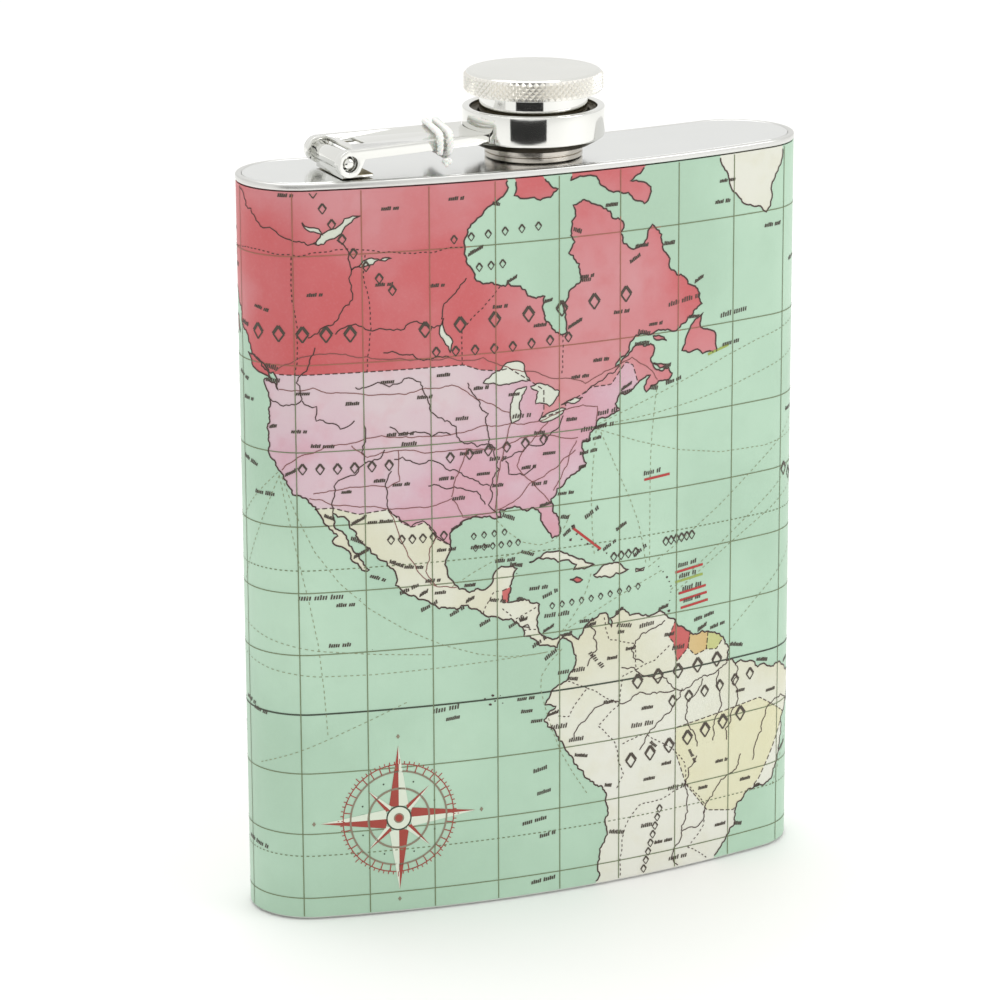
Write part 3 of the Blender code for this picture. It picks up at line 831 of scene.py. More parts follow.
# =============================================================================
# Cap
# =============================================================================
def build_knob():
    """The knurled knob with its shank, hollow from below, in one turned piece."""
    columns = 132
    knob = 11.05 * MM
    depth = 0.42 * MM
    low = 10.44 * MM
    high = 13.47 * MM
    profile = [
        (0.5, 11.2),
        (7.5, 11.2),
        (7.75, 11.0),
        (7.75, 2.75),
        (7.9, 2.6),
        (8.4, 2.6),
        (8.55, 2.72),
        (8.55, 2.95),
        (8.25, 2.98),
        (8.25, 4.12),
        (8.55, 4.15),
        (8.55, 10.15),
        (8.8, 10.28),
        (10.35, 10.33),
    ]
    rings = [circle(r * MM, z * MM, columns) for r, z in profile]
    rows = 6
    for row in range(rows + 1):
        z = low + (high - low) * row / rows
        ring = []
        for column in range(columns):
            angle = math.tau * column / columns
            raised = (row + column) % 2 == 0 and 0 < row < rows
            r = knob if raised else knob - depth
            ring.append(AXIS + Vector((r * math.cos(angle), r * math.sin(angle), z)))
        rings.append(ring)
    for r, z in ((10.45, 13.6), (10.2, 13.69), (9.7, 13.73), (6.0, 13.75), (0.4, 13.75)):
        rings.append(circle(r * MM, z * MM, columns))
    bm = bmesh.new()
    loft(bm, rings, caps=True)
    band = [f for f in bm.faces if low < f.calc_center_median().z - HEIGHT < high]
    band = [f for f in band if (f.calc_center_median() - AXIS).to_2d().length > 10.5 * MM]
    bmesh.ops.triangulate(bm, faces=band, quad_method="SHORT_EDGE")
    mesh = to_mesh(bm, "knob", [TURNED, CHROME, KNURLED], sharp=28.0)
    for polygon in mesh.polygons:
        centre = polygon.center - AXIS
        if low < centre.z < high and centre.to_2d().length > 10.5 * MM:
            polygon.use_smooth = False
            polygon.material_index = 2
        elif centre.z < 13.55 * MM:
            polygon.material_index = 1
    piece("knob", mesh, "cap", "chrome", "cap_knob")


def finish_inner_parts():
    """The parts inside the cap keep their CAD mesh and get a real finish."""
    for name, material in (
        ("cap_sleeve", INNER),
        ("retaining_ring", INNER),
        ("cap_gasket", rubber()),
    ):
        nodes[name].data.materials[0] = material


# =============================================================================
# String
# =============================================================================
STRING_R = 0.52 * MM
STRING_NEAR_X = -18.2 * MM
STRING_FAR_X = -16.0 * MM
STRING_STEP = 1.7 * MM
STRING_START = -0.08
STRING_END = 1.86


def string_point(turn):
    """The string's centreline after some turns round the arm, from the near side."""
    clear = 0.3 * MM + STRING_R
    angle = math.tau * turn
    wave_y = -math.cos(angle)
    wave_z = math.sin(angle)
    side = math.copysign(abs(wave_y) ** 0.32, wave_y)
    rise = math.copysign(abs(wave_z) ** 0.32, wave_z)
    across = 0.5 + 0.5 * side
    x = STRING_NEAR_X + (STRING_FAR_X - STRING_NEAR_X) * across + STRING_STEP * turn
    half = arm_half(x) + clear
    top = arm_top(x) + clear
    low = arm_top(x) - ARM_FLANGE - clear
    z = (top + low) / 2.0 + rise * (top - low) / 2.0
    late = max(0.0, turn - 1.5) / (STRING_END - 1.5)
    x += late * (STRING_NEAR_X + STRING_STEP - x)
    z -= late * 2.1 * STRING_R
    return Vector((x, AXIS.y + side * half, HEIGHT + z))


def knot_centre():
    near = string_point(0.0)
    x = STRING_NEAR_X + STRING_STEP / 2.0
    return Vector((x, near.y - STRING_R, string_point(STRING_END).z))


def even_path(points, step):
    """The same route with points evenly spaced."""
    path = [points[0]]
    gone = 0.0
    for first, last in zip(points, points[1:]):
        length = (last - first).length
        while gone + length >= step:
            share = (step - gone) / length
            first = first.lerp(last, share)
            length = (last - first).length
            gone = 0.0
            path.append(first)
        gone += length
    return path


def build_string(material):
    """Three plies twisted together, two turns round the arm."""
    turns = STRING_END - STRING_START
    fine = [string_point(STRING_START + turns * i / 600) for i in range(601)]
    path = even_path(fine, 0.24 * MM)
    for _ in range(3):
        inner = [(a + b * 2.0 + c) / 4.0 for a, b, c in zip(path, path[1:], path[2:])]
        path = [path[0], *inner, path[-1]]
    plies = 3
    lay = 2.3 * MM
    strands = [[] for _ in range(plies)]
    side = None
    run = 0.0
    for i, point in enumerate(path):
        along = (path[min(i + 1, len(path) - 1)] - path[max(i - 1, 0)]).normalized()
        if side is None:
            side = along.orthogonal().normalized()
        side = (side - along * side.dot(along)).normalized()
        other = along.cross(side)
        run += (point - path[i - 1]).length if i else 0.0
        for ply in range(plies):
            angle = math.tau * (run / lay + ply / plies)
            offset = side * math.cos(angle) + other * math.sin(angle)
            strands[ply].append(point + offset * 0.245 * MM)
    bm = bmesh.new()
    for strand in strands:
        tube(bm, strand, 0.275 * MM, 8)
    mesh = to_mesh(bm, "string", [material], sharp=None)
    piece("string", mesh, "arm", "cotton", "string_wrap")


def build_knot(material):
    """A pulled-tight knot: a trefoil of the same yarn."""
    centre = knot_centre()
    unit = 0.185 * MM
    path = []
    for i in range(72):
        t = math.tau * i / 72
        x = math.sin(t) + 2.0 * math.sin(2.0 * t)
        z = math.cos(t) - 2.0 * math.cos(2.0 * t)
        path.append(centre + unit * Vector((x, -1.4 * math.sin(3.0 * t), z)))
    bm = bmesh.new()
    tube(bm, path, 0.3 * MM, 9, closed=True)
    mesh = to_mesh(bm, "knot", [material], sharp=None)
    piece("knot", mesh, "arm", "cotton", "string_knot")


# =============================================================================
# The map, drawn flat: millimetres along the sheet and up it
# =============================================================================
LOW = WRAP_BOTTOM / MM
TOP = SHEET_TOP / MM
SEAM = section.seam / MM
ROUND = 2.0 * section.half_round / MM
STRIP = ROUND - 0.15  # the sheet's length, which leaves a hairline at the seam
PER_DEGREE = 1.0756
EQUATOR = 34.75


def at(lon, lat):
    """Where a longitude and latitude falls on the sheet, in Mercator's way."""
    up = math.degrees(math.log(math.tan(math.radians(45.0 + lat / 2.0))))
    return Vector((0.22 + PER_DEGREE * (lon + 80.0), EQUATOR + 0.986 * up))


def on_sheet(point, inset):
    """Wrap a flat point round the flask."""
    x, y = section.at(point[0] * MM, inset)
    return Vector((x, y, point[1] * MM))


def route(places):
    return [at(lon, lat) for lon, lat in places]


def ragged(places, closed=True, seed=1, least=0.75, amount=0.15):
    """A coast or river: points nudged off the straight line, ever finer."""
    dice = random.Random(seed * 7919 + len(places))
    points = route(places)
    if closed:
        points.append(points[0].copy())
    while True:
        finer = [points[0]]
        split = False
        for first, last in zip(points, points[1:]):
            gap = last - first
            if gap.length > least:
                split = True
                nudge = Vector((-gap.y, gap.x)) * dice.uniform(-amount, amount)
                finer.append((first + last) / 2.0 + nudge)
            finer.append(last)
        points = finer
        if not split:
            return points[:-1] if closed else points


def spaced(points, step):
    """Points at an even step along a flat route."""
    return [p.to_2d() for p in even_path([Vector((*q, 0.0)) for q in points], step)]


AMERICAS = [
    (-134, 66.5), (-134, 58.2), (-132.5, 56.5), (-130.3, 55), (-130.1, 54), (-128.2, 52.5),
    (-127.5, 51.2), (-125.5, 50.2), (-123.3, 49.2), (-122.7, 48.2), (-122.5, 47.3), (-123.1, 48.1),
    (-124.7, 48.4), (-124.1, 46.9), (-123.9, 46.2), (-124.1, 44.5), (-124.5, 42.8), (-124.1, 41),
    (-124.3, 40.3), (-123.7, 39), (-122.9, 38), (-122.4, 37.5), (-121.9, 36.6), (-120.7, 35.1),
    (-120.6, 34.5), (-119.2, 34.1), (-118.4, 33.8), (-117.3, 32.8), (-116.6, 31.6), (-115.9, 30.2),
    (-114.7, 28.9), (-114.1, 28.5), (-114.9, 27.8), (-114, 27), (-113.1, 26.6), (-112.2, 25.5),
    (-112, 24.6), (-111.2, 24.2), (-110.2, 23), (-109.5, 23.1), (-110.4, 24.4), (-111.1, 25.7),
    (-112.1, 26.8), (-112.8, 28), (-113.9, 29.3), (-114.7, 31), (-114.8, 31.8), (-113.1, 31.2),
    (-112.3, 29.5), (-111.1, 27.9), (-109.4, 26.4), (-109.2, 25.6), (-107.9, 24.5), (-106.4, 23.2),
    (-105.4, 21.6), (-105.6, 20.4), (-104.3, 19.1), (-102.2, 17.9), (-99.9, 16.8), (-97.8, 16),
    (-96.4, 15.7), (-94.6, 16.2), (-93.2, 15.4), (-92.2, 14.5), (-91.4, 13.9), (-89.5, 13.4),
    (-87.8, 13.2), (-87.5, 12.9), (-86.5, 11.8), (-85.8, 11), (-85.8, 10), (-84.8, 9.9),
    (-83.7, 8.9), (-83.5, 8.4), (-82.9, 8.1), (-81, 7.7), (-80.4, 7.3), (-80.2, 8.2),
    (-79.5, 8.9), (-78.4, 8.2), (-77.9, 7.3), (-77.3, 5.5), (-77.4, 4), (-78.4, 2.5),
    (-78.9, 1.4), (-80.6, 0.6), (-81.6, -0.8), (-82.4, -2.2), (-80.6, -2.7), (-81.8, -3.6),
    (-82.6, -4.7), (-82, -6), (-80.6, -7.5), (-79.4, -9.4), (-78.4, -11.4), (-77, -13.9),
    (-75.8, -15.6), (-74, -17.2), (-72.4, -18.6), (-72, -21), (-72.3, -24), (-72.8, -27),
    (-73.6, -30), (-73.8, -35), (-53.4, -35), (-52.2, -32.2), (-50.3, -30), (-48.7, -28.4),
    (-48.6, -26.2), (-46.9, -24.3), (-44.6, -23.1), (-42, -22.9), (-40.9, -21.8), (-39.7, -19.5),
    (-39, -16.5), (-38.7, -13.1), (-37, -11), (-35.2, -8.9), (-34.8, -7), (-35.3, -5.2),
    (-37.2, -4.8), (-38.7, -3.6), (-40.5, -2.8), (-42.8, -2.5), (-44.4, -2.6), (-46, -1.1),
    (-47.8, -0.6), (-48.8, -1.4), (-49.5, -0.1), (-50.6, -0.2), (-50.4, 1.2), (-50, 1.9),
    (-51.2, 4.1), (-52.9, 5.3), (-55.2, 6), (-57.3, 6), (-58.6, 7.2), (-60.1, 8.6),
    (-61.7, 9.8), (-62.6, 10.6), (-64.8, 10.2), (-66.2, 10.6), (-68.2, 10.9), (-69.9, 12.1),
    (-70.2, 11.5), (-71.6, 11), (-71.3, 9.4), (-71.9, 11.2), (-72.3, 12), (-74.2, 11.3),
    (-75.4, 10.6), (-76.2, 9.2), (-76.9, 8.2), (-78, 9.2), (-79.9, 9.4), (-81.2, 8.8),
    (-82.3, 9.2), (-83.4, 10.4), (-83.7, 11.5), (-83.3, 13.5), (-83.3, 15), (-85, 15.9),
    (-87.6, 15.9), (-88.4, 15.9), (-88.2, 17.2), (-88, 18.5), (-87.4, 19.8), (-86.8, 21.2),
    (-88.3, 21.6), (-90.2, 21.2), (-90.6, 19.8), (-91.6, 18.6), (-94.3, 18.2), (-95.9, 18.9),
    (-97.2, 20.6), (-97.8, 22.5), (-97.5, 24.5), (-97.2, 26.2), (-97.3, 27.6), (-95.8, 28.7),
    (-94.4, 29.5), (-92, 29.6), (-90.4, 29.1), (-89.2, 29.1), (-89.5, 30.3), (-88, 30.4),
    (-86.4, 30.4), (-85.3, 29.7), (-84.2, 30.1), (-83, 29.1), (-82.8, 27.8), (-82, 26.5),
    (-81.2, 25.2), (-80.3, 25.4), (-80, 26.9), (-81.1, 29.2), (-81.4, 31), (-80.4, 32.4),
    (-79, 33.4), (-77.8, 34.1), (-76.5, 34.8), (-75.6, 35.4), (-76, 36.9), (-76.3, 38.3),
    (-75.2, 38.3), (-75, 39.4), (-74.1, 40), (-73.9, 40.7), (-72, 41.1), (-70.7, 41.6),
    (-70, 41.8), (-70.8, 42.6), (-70, 43.8), (-67.2, 44.6), (-66, 45.2), (-64.8, 45.5),
    (-65.9, 44.2), (-65.5, 43.5), (-63.4, 44.6), (-61, 45.3), (-61.6, 46), (-64, 46.1),
    (-64.8, 47.4), (-64.3, 48.8), (-66.5, 49.1), (-69.5, 47.8), (-70.8, 47), (-68.5, 49),
    (-66.6, 50.2), (-63, 50.3), (-60, 50.2), (-57.5, 51.4), (-55.7, 52.4), (-56.5, 53.8),
    (-58.3, 54.6), (-60.3, 55.6), (-61.8, 57.4), (-63, 58.9), (-64.6, 60.3), (-65.4, 59.6),
    (-66, 58.8), (-67.8, 58.4), (-69.5, 59), (-69.6, 60.8), (-71.5, 61.3), (-73.8, 62.3),
    (-77.8, 62.5), (-78, 60.8), (-77.5, 59.6), (-78.5, 58.7), (-76.7, 57.2), (-76.7, 56),
    (-78.5, 55.1), (-79.6, 54.2), (-79, 52.7), (-78.8, 51.4), (-80, 51.3), (-81.6, 52.5),
    (-82.3, 55.1), (-85, 55.3), (-88, 56.6), (-92.4, 57), (-94.5, 58.8), (-94.8, 60.5),
    (-93, 62), (-90.8, 63), (-88, 64.2), (-86, 66.5),
]
AFRICA = [
    (-5.9, 35.8), (-2, 35.1), (3, 36.9), (10, 37.3), (11, 35.2), (10.2, 34), (13.3, 32.9),
    (15.5, 31.8), (19, 30.3), (20.2, 31.8), (23, 32.6), (25.2, 31.6), (29, 30.9), (32.3, 31.2),
    (32.6, 29.9), (34.2, 27.5), (35.5, 24), (37.2, 21), (38.6, 18), (41.2, 14.7), (43.2, 12.4),
    (43.2, 11.3), (47, 11.1), (51.2, 11.9), (50.8, 9.3), (48, 4.3), (44, 1), (41.5, -1.7),
    (39.5, -4.7), (38.8, -6.5), (40.4, -10.5), (40.7, -15), (36.9, -17.9), (34.8, -19.8),
    (35.5, -23.8), (32.7, -26), (32.3, -28.5), (30.4, -31), (27.5, -33.3), (25, -34), (20, -34.8),
    (18.4, -34.1), (17.3, -30), (15.2, -27), (14.4, -22.8), (11.8, -18), (13.6, -12.5),
    (13.2, -8.8), (12, -5), (9.3, -1), (9.7, 4), (8.5, 4.6), (6, 4.3), (4.4, 6.3), (1, 5.9),
    (-2, 4.8), (-4.5, 5.2), (-7.5, 4.4), (-11.4, 6.9), (-13.3, 9), (-15, 11), (-16.8, 12.5),
    (-17.5, 14.7), (-16.5, 16.5), (-16.3, 19.5), (-17, 21), (-14.8, 25.8), (-12.9, 27.8),
    (-9.8, 29.8), (-9.7, 31.4), (-6.8, 34.1),
]
EURASIA = [
    (-5.6, 36), (-8.9, 37), (-9.4, 38.8), (-8.8, 41.2), (-9.2, 43.1), (-3.8, 43.5), (-1.5, 43.5),
    (-1.1, 46), (-4.6, 48.4), (-1.6, 48.7), (-1.5, 49.7), (0.2, 49.7), (1.7, 50.9), (4, 52),
    (4.8, 53), (8.2, 53.8), (8.1, 56), (8.2, 57), (10.6, 57.7), (10.9, 56.4), (9.8, 55),
    (11, 54), (14.2, 54), (18.6, 54.7), (21, 55.3), (21.1, 57.2), (24.2, 57.2), (23.5, 58.8),
    (28, 59.6), (30, 60), (25, 60.2), (22.9, 59.9), (21.3, 61.5), (21.4, 63), (25.2, 66.8),
    (74, 66.8), (74, 22), (68, 23.7), (66.7, 25), (61.6, 25.1), (57.3, 25.7), (56.8, 27.1),
    (54, 26.6), (51.3, 27.9), (50, 30), (48.3, 29.9), (48.2, 28.8), (50.2, 26.5), (51.4, 24.6),
    (54.2, 24.2), (56.2, 26), (56.8, 24.3), (59.8, 22.5), (57.8, 19), (55.1, 17.2), (52.2, 15.6),
    (45.1, 12.9), (43.5, 12.7), (42.7, 16.5), (39.1, 21), (37.1, 25), (35, 28.1), (34.9, 29.4),
    (34.3, 27.9), (32.8, 29.8), (32.5, 31.1), (34.3, 31.3), (35, 33), (35.9, 35), (36, 36.8),
    (33, 36.2), (30.6, 36.7), (28.2, 36.8), (27, 38.3), (26.2, 40.1), (26, 40.7), (23.7, 40.5),
    (22.7, 40.3), (23, 39), (24, 37.8), (22.5, 36.6), (21.4, 37.7), (20, 39.6), (19.4, 41.8),
    (16.2, 43.5), (13.7, 45.2), (12.4, 45.3), (12.4, 44.2), (14.1, 42.5), (16, 41.5), (18.3, 40),
    (16.9, 40.4), (16.5, 38.5), (15.8, 38), (15.8, 40), (12.3, 41.8), (10.3, 43.8), (8.8, 44.4),
    (6.5, 43.1), (3.5, 43.3), (3, 41.7), (0, 40), (-0.2, 38.6), (-2.1, 36.7),
]
# Smaller land: a colour and an outline each.
ISLANDS = [
    ("canada", [(-128.2, 50.8), (-125.2, 50.1), (-123.6, 48.4), (-125.8, 49)]),
    ("canada", [(-59.3, 47.7), (-57.3, 50.6), (-55.5, 51.5), (-56, 50), (-53.5, 49.3), (-53, 47),
                (-55.6, 47), (-56.5, 47.6)]),
    ("canada", [(-78.2, 64.3), (-74, 64.4), (-72, 63.3), (-66, 62), (-64.9, 63.2), (-68.4, 63.8),
                (-65.2, 64.9), (-65, 66.5), (-78, 66.5)]),
    ("canada", [(-87, 65.5), (-84.3, 65.8), (-80.2, 63.8), (-83, 63.1), (-87.1, 63.6)]),
    ("canada", [(-64.3, 46.8), (-63, 46.6), (-62, 46.5), (-63.2, 46.1)]),
    ("canada", [(-64.4, 49.8), (-62.5, 49.5), (-62, 49.1), (-63.8, 49.3)]),
    ("canada", [(-132.9, 54), (-131.7, 54), (-131.1, 52.3), (-132.2, 52.9)]),
    ("cream", [(-53.6, 66.8), (-52.6, 64.8), (-51.2, 63.4), (-49.3, 61.6), (-46.5, 60.6),
               (-43.8, 59.9), (-42.7, 61), (-42, 62.8), (-40.5, 64.8), (-37, 65.8), (-33, 66.8)]),
    ("cream", [(-84.9, 21.9), (-82.6, 23), (-80.5, 23.1), (-77.2, 21.6), (-74.2, 20.2),
               (-77.7, 19.8), (-77.2, 20.6), (-78.5, 21.5), (-81.8, 22.2)]),
    ("cream", [(-74.4, 18.5), (-72.7, 19.9), (-69.9, 19.7), (-68.4, 18.6), (-70.6, 18.3),
               (-71.6, 17.7)]),
    ("red", [(-78.3, 18.3), (-77.2, 18.6), (-76.2, 18), (-77.2, 17.7)]),
    ("cream", [(-67.2, 18.5), (-65.7, 18.5), (-65.9, 18), (-67.2, 18)]),
    ("cream", [(-22.7, 63.8), (-18.8, 63.4), (-14.6, 64.4), (-14.6, 65.4), (-22, 65.4), (-24, 65),
               (-22, 64.6)]),
    ("canada", [(-5.6, 50.1), (-3.5, 50.3), (1.3, 51.1), (1.7, 52.7), (0.3, 53), (-1.6, 55),
                (-2.1, 57.6), (-4, 57.7), (-3.1, 58.6), (-5, 58.6), (-5.7, 56.5), (-4.8, 55),
                (-3, 54), (-4.5, 53.3), (-4.9, 51.9), (-3, 51.4)]),
    ("canada", [(-6.2, 52.3), (-9.8, 51.5), (-9.9, 53.8), (-8.2, 54.4), (-7.3, 55.3),
                (-5.6, 54.5), (-6, 53.3)]),
    ("yellow", [(22, 66.8), (22, 65.6), (17.3, 62), (17.2, 60.7), (18.8, 59.8), (16.6, 57.6),
                (16.3, 56.4), (14.2, 55.5), (12.8, 55.6), (11.2, 59), (10.5, 59.4), (8, 58.1),
                (5.6, 58.9), (5, 61), (7, 62.8), (10.5, 64.2), (12.5, 66.8)]),
    ("lilac", [(49.3, -12), (50.4, -15.7), (47.1, -24.9), (44, -25), (43.3, -22), (44.4, -19.8),
               (44.4, -16.2), (47, -15.3)]),
    ("yellow", [(12.5, 38), (15.5, 38.2), (15.1, 36.7)]),
    ("yellow", [(8.2, 41), (9.6, 41), (9.6, 39.2), (8.5, 39)]),
    ("lilac", [(8.7, 42.6), (9.4, 42.9), (9.4, 41.5), (8.8, 41.6)]),
]
WATERS = [
    [(-92, 46.8), (-89.5, 48), (-88.3, 48.8), (-86, 48.7), (-84.7, 46.6), (-87.2, 46.5),
     (-90.4, 46.7)],
    [(-87.6, 41.7), (-87.8, 43.5), (-87, 45.6), (-85.2, 45.9), (-86.4, 43.9), (-86.3, 42.2)],
    [(-84.6, 45.9), (-82.6, 46), (-80, 45), (-81.6, 43.3), (-83.8, 43.8), (-83.4, 45.2)],
    [(-83.3, 41.7), (-81.5, 42.6), (-79, 42.8), (-81.8, 41.5)],
    [(-79.7, 43.3), (-77.5, 44), (-76.2, 43.9), (-77.5, 43.3)],
    [(-97, 50.4), (-98.6, 52.8), (-98, 53.9), (-96.6, 51.5)],
    [(-117, 61), (-114.4, 62), (-110, 62.9), (-113.4, 61.5), (-115.5, 60.9)],
    [(-111.6, 58.7), (-109, 59.6), (-105.6, 59.5), (-109.4, 59)],
    [(-118.6, 62.6), (-116.2, 62.1), (-115.6, 61.6), (-117.4, 61.9)],
    [(-86, 11.6), (-85.2, 11.9), (-84.8, 11.2)],
    [(28, 42.5), (28.2, 41.5), (29.2, 41.3), (31.5, 41.2), (35, 42), (38.4, 41), (41.5, 41.6),
     (41.3, 42.8), (38.2, 44.5), (36.8, 45.2), (33.6, 44.5), (32.6, 46), (30.6, 46.5),
     (28.8, 44.8)],
    [(47, 45), (49.5, 46.6), (53, 46.6), (53, 45), (50.8, 44.5), (53, 41), (54, 37.3), (51, 36.7),
     (49, 37.6), (49.5, 40.2), (47.5, 43)],
    [(32, 0.4), (34, 0.3), (33.6, -2.4), (31.8, -2.4)],
]
# Countries: a colour and an outline that may run out to sea, where it isn't seen.
UNITED = [
    (-129, 48.6), (-123.2, 49), (-95, 49), (-92.5, 48.3), (-89.5, 48), (-88, 48.2), (-84.8, 46.6),
    (-82.5, 45.3), (-82.5, 43), (-83, 42), (-79, 42.7), (-79, 43.5), (-76.5, 44.2), (-74.8, 45),
    (-71.5, 45), (-70, 46.5), (-69, 47.4), (-67.8, 46.9), (-67, 44.9), (-66, 42), (-72, 30),
    (-79, 24), (-83, 24), (-92, 28), (-96, 26), (-97.4, 25.9), (-99.3, 27), (-101, 29.6),
    (-103, 29), (-104.5, 29.7), (-106.5, 31.8), (-111, 31.4), (-114.8, 32.5), (-117.2, 32.5),
    (-122, 31), (-130, 45),
]
COUNTRIES = [
    ("canada", [(-145, 38), (-60, 40), (-50.5, 46), (-50.5, 54), (-60, 62), (-63, 70), (-145, 70)]),
    ("lilac", UNITED),
    ("red", [(-61.3, 6), (-60, 9), (-57.3, 7), (-57.8, 3.5), (-59.8, 1.5), (-60.5, 5)]),
    ("orange", [(-57.3, 7), (-54, 7), (-54.4, 2.6), (-56.5, 2), (-57.8, 3.5)]),
    ("green", [(-54, 7), (-50.5, 5), (-52.5, 2.3), (-54.4, 2.6)]),
    ("red", [(-89.2, 17.9), (-87.8, 18.4), (-87.9, 16), (-89.2, 15.9)]),
    ("yellow", [(-58, -20), (-54, -25), (-49, -26), (-44, -22), (-38, -12), (-44, -8), (-52, -9),
                (-60, -10), (-60, -14)]),
    ("canada", [(14, -23), (20, -22), (28, -16), (33, -17), (32, -26), (36, -37), (12, -37)]),
    ("canada", [(25, 34), (25, 20), (28, 5), (30, -1), (42, -2), (38, 6), (40, 17), (33, 33)]),
    ("red", [(3, 3), (3.5, 12), (13, 13.5), (10, 6), (9, 3)]),
    ("lilac", [(-20, 24), (-5, 25), (3, 24), (14, 23), (15, 13), (3.5, 13), (-3, 10), (-7, 4),
               (-18, 10)]),
    ("lilac", [(-2, 37), (9, 38.5), (9, 31), (3, 27), (-1, 32)]),
    ("green", [(29.5, -1), (42, -2), (42, -11), (30, -9)]),
    ("orange", [(10, 6), (15, 12), (16, 3), (8, 2)]),
    ("yellow", [(12, -5), (18, 4), (28, 5), (30, -1), (29, -13), (22, -11), (17, -7)]),
    ("orange", [(10, -17), (24, -17.5), (22, -11), (17, -7), (10, -5)]),
    ("orange", [(41, -10.5), (34.5, -12), (33, -17), (32, -27), (38, -26), (43, -16)]),
    ("yellow", [(-10, 35), (-10, 44.5), (-1.8, 43.4), (3.2, 42.4), (4, 40), (-3, 35)]),
    ("lilac", [(-6, 50), (2.5, 51), (8, 49), (7, 44), (3.3, 42.4), (-1.8, 43.4)]),
    ("green", [(6, 55), (20, 56), (18, 50), (12.5, 47.6), (8, 47.6), (6, 51)]),
    ("orange", [(7, 44), (8, 46), (13.6, 46.6), (13, 44), (19, 40), (15, 36), (9, 42)]),
    ("green", [(26, 36), (26, 42), (42, 41.5), (48, 38), (47, 30), (36, 33), (34, 35)]),
    ("lilac", [(47, 38.5), (61, 37), (61, 24), (52, 26), (48, 30)]),
    ("canada", [(61, 37), (62, 31), (61, 24), (76, 20), (76, 36)]),
]
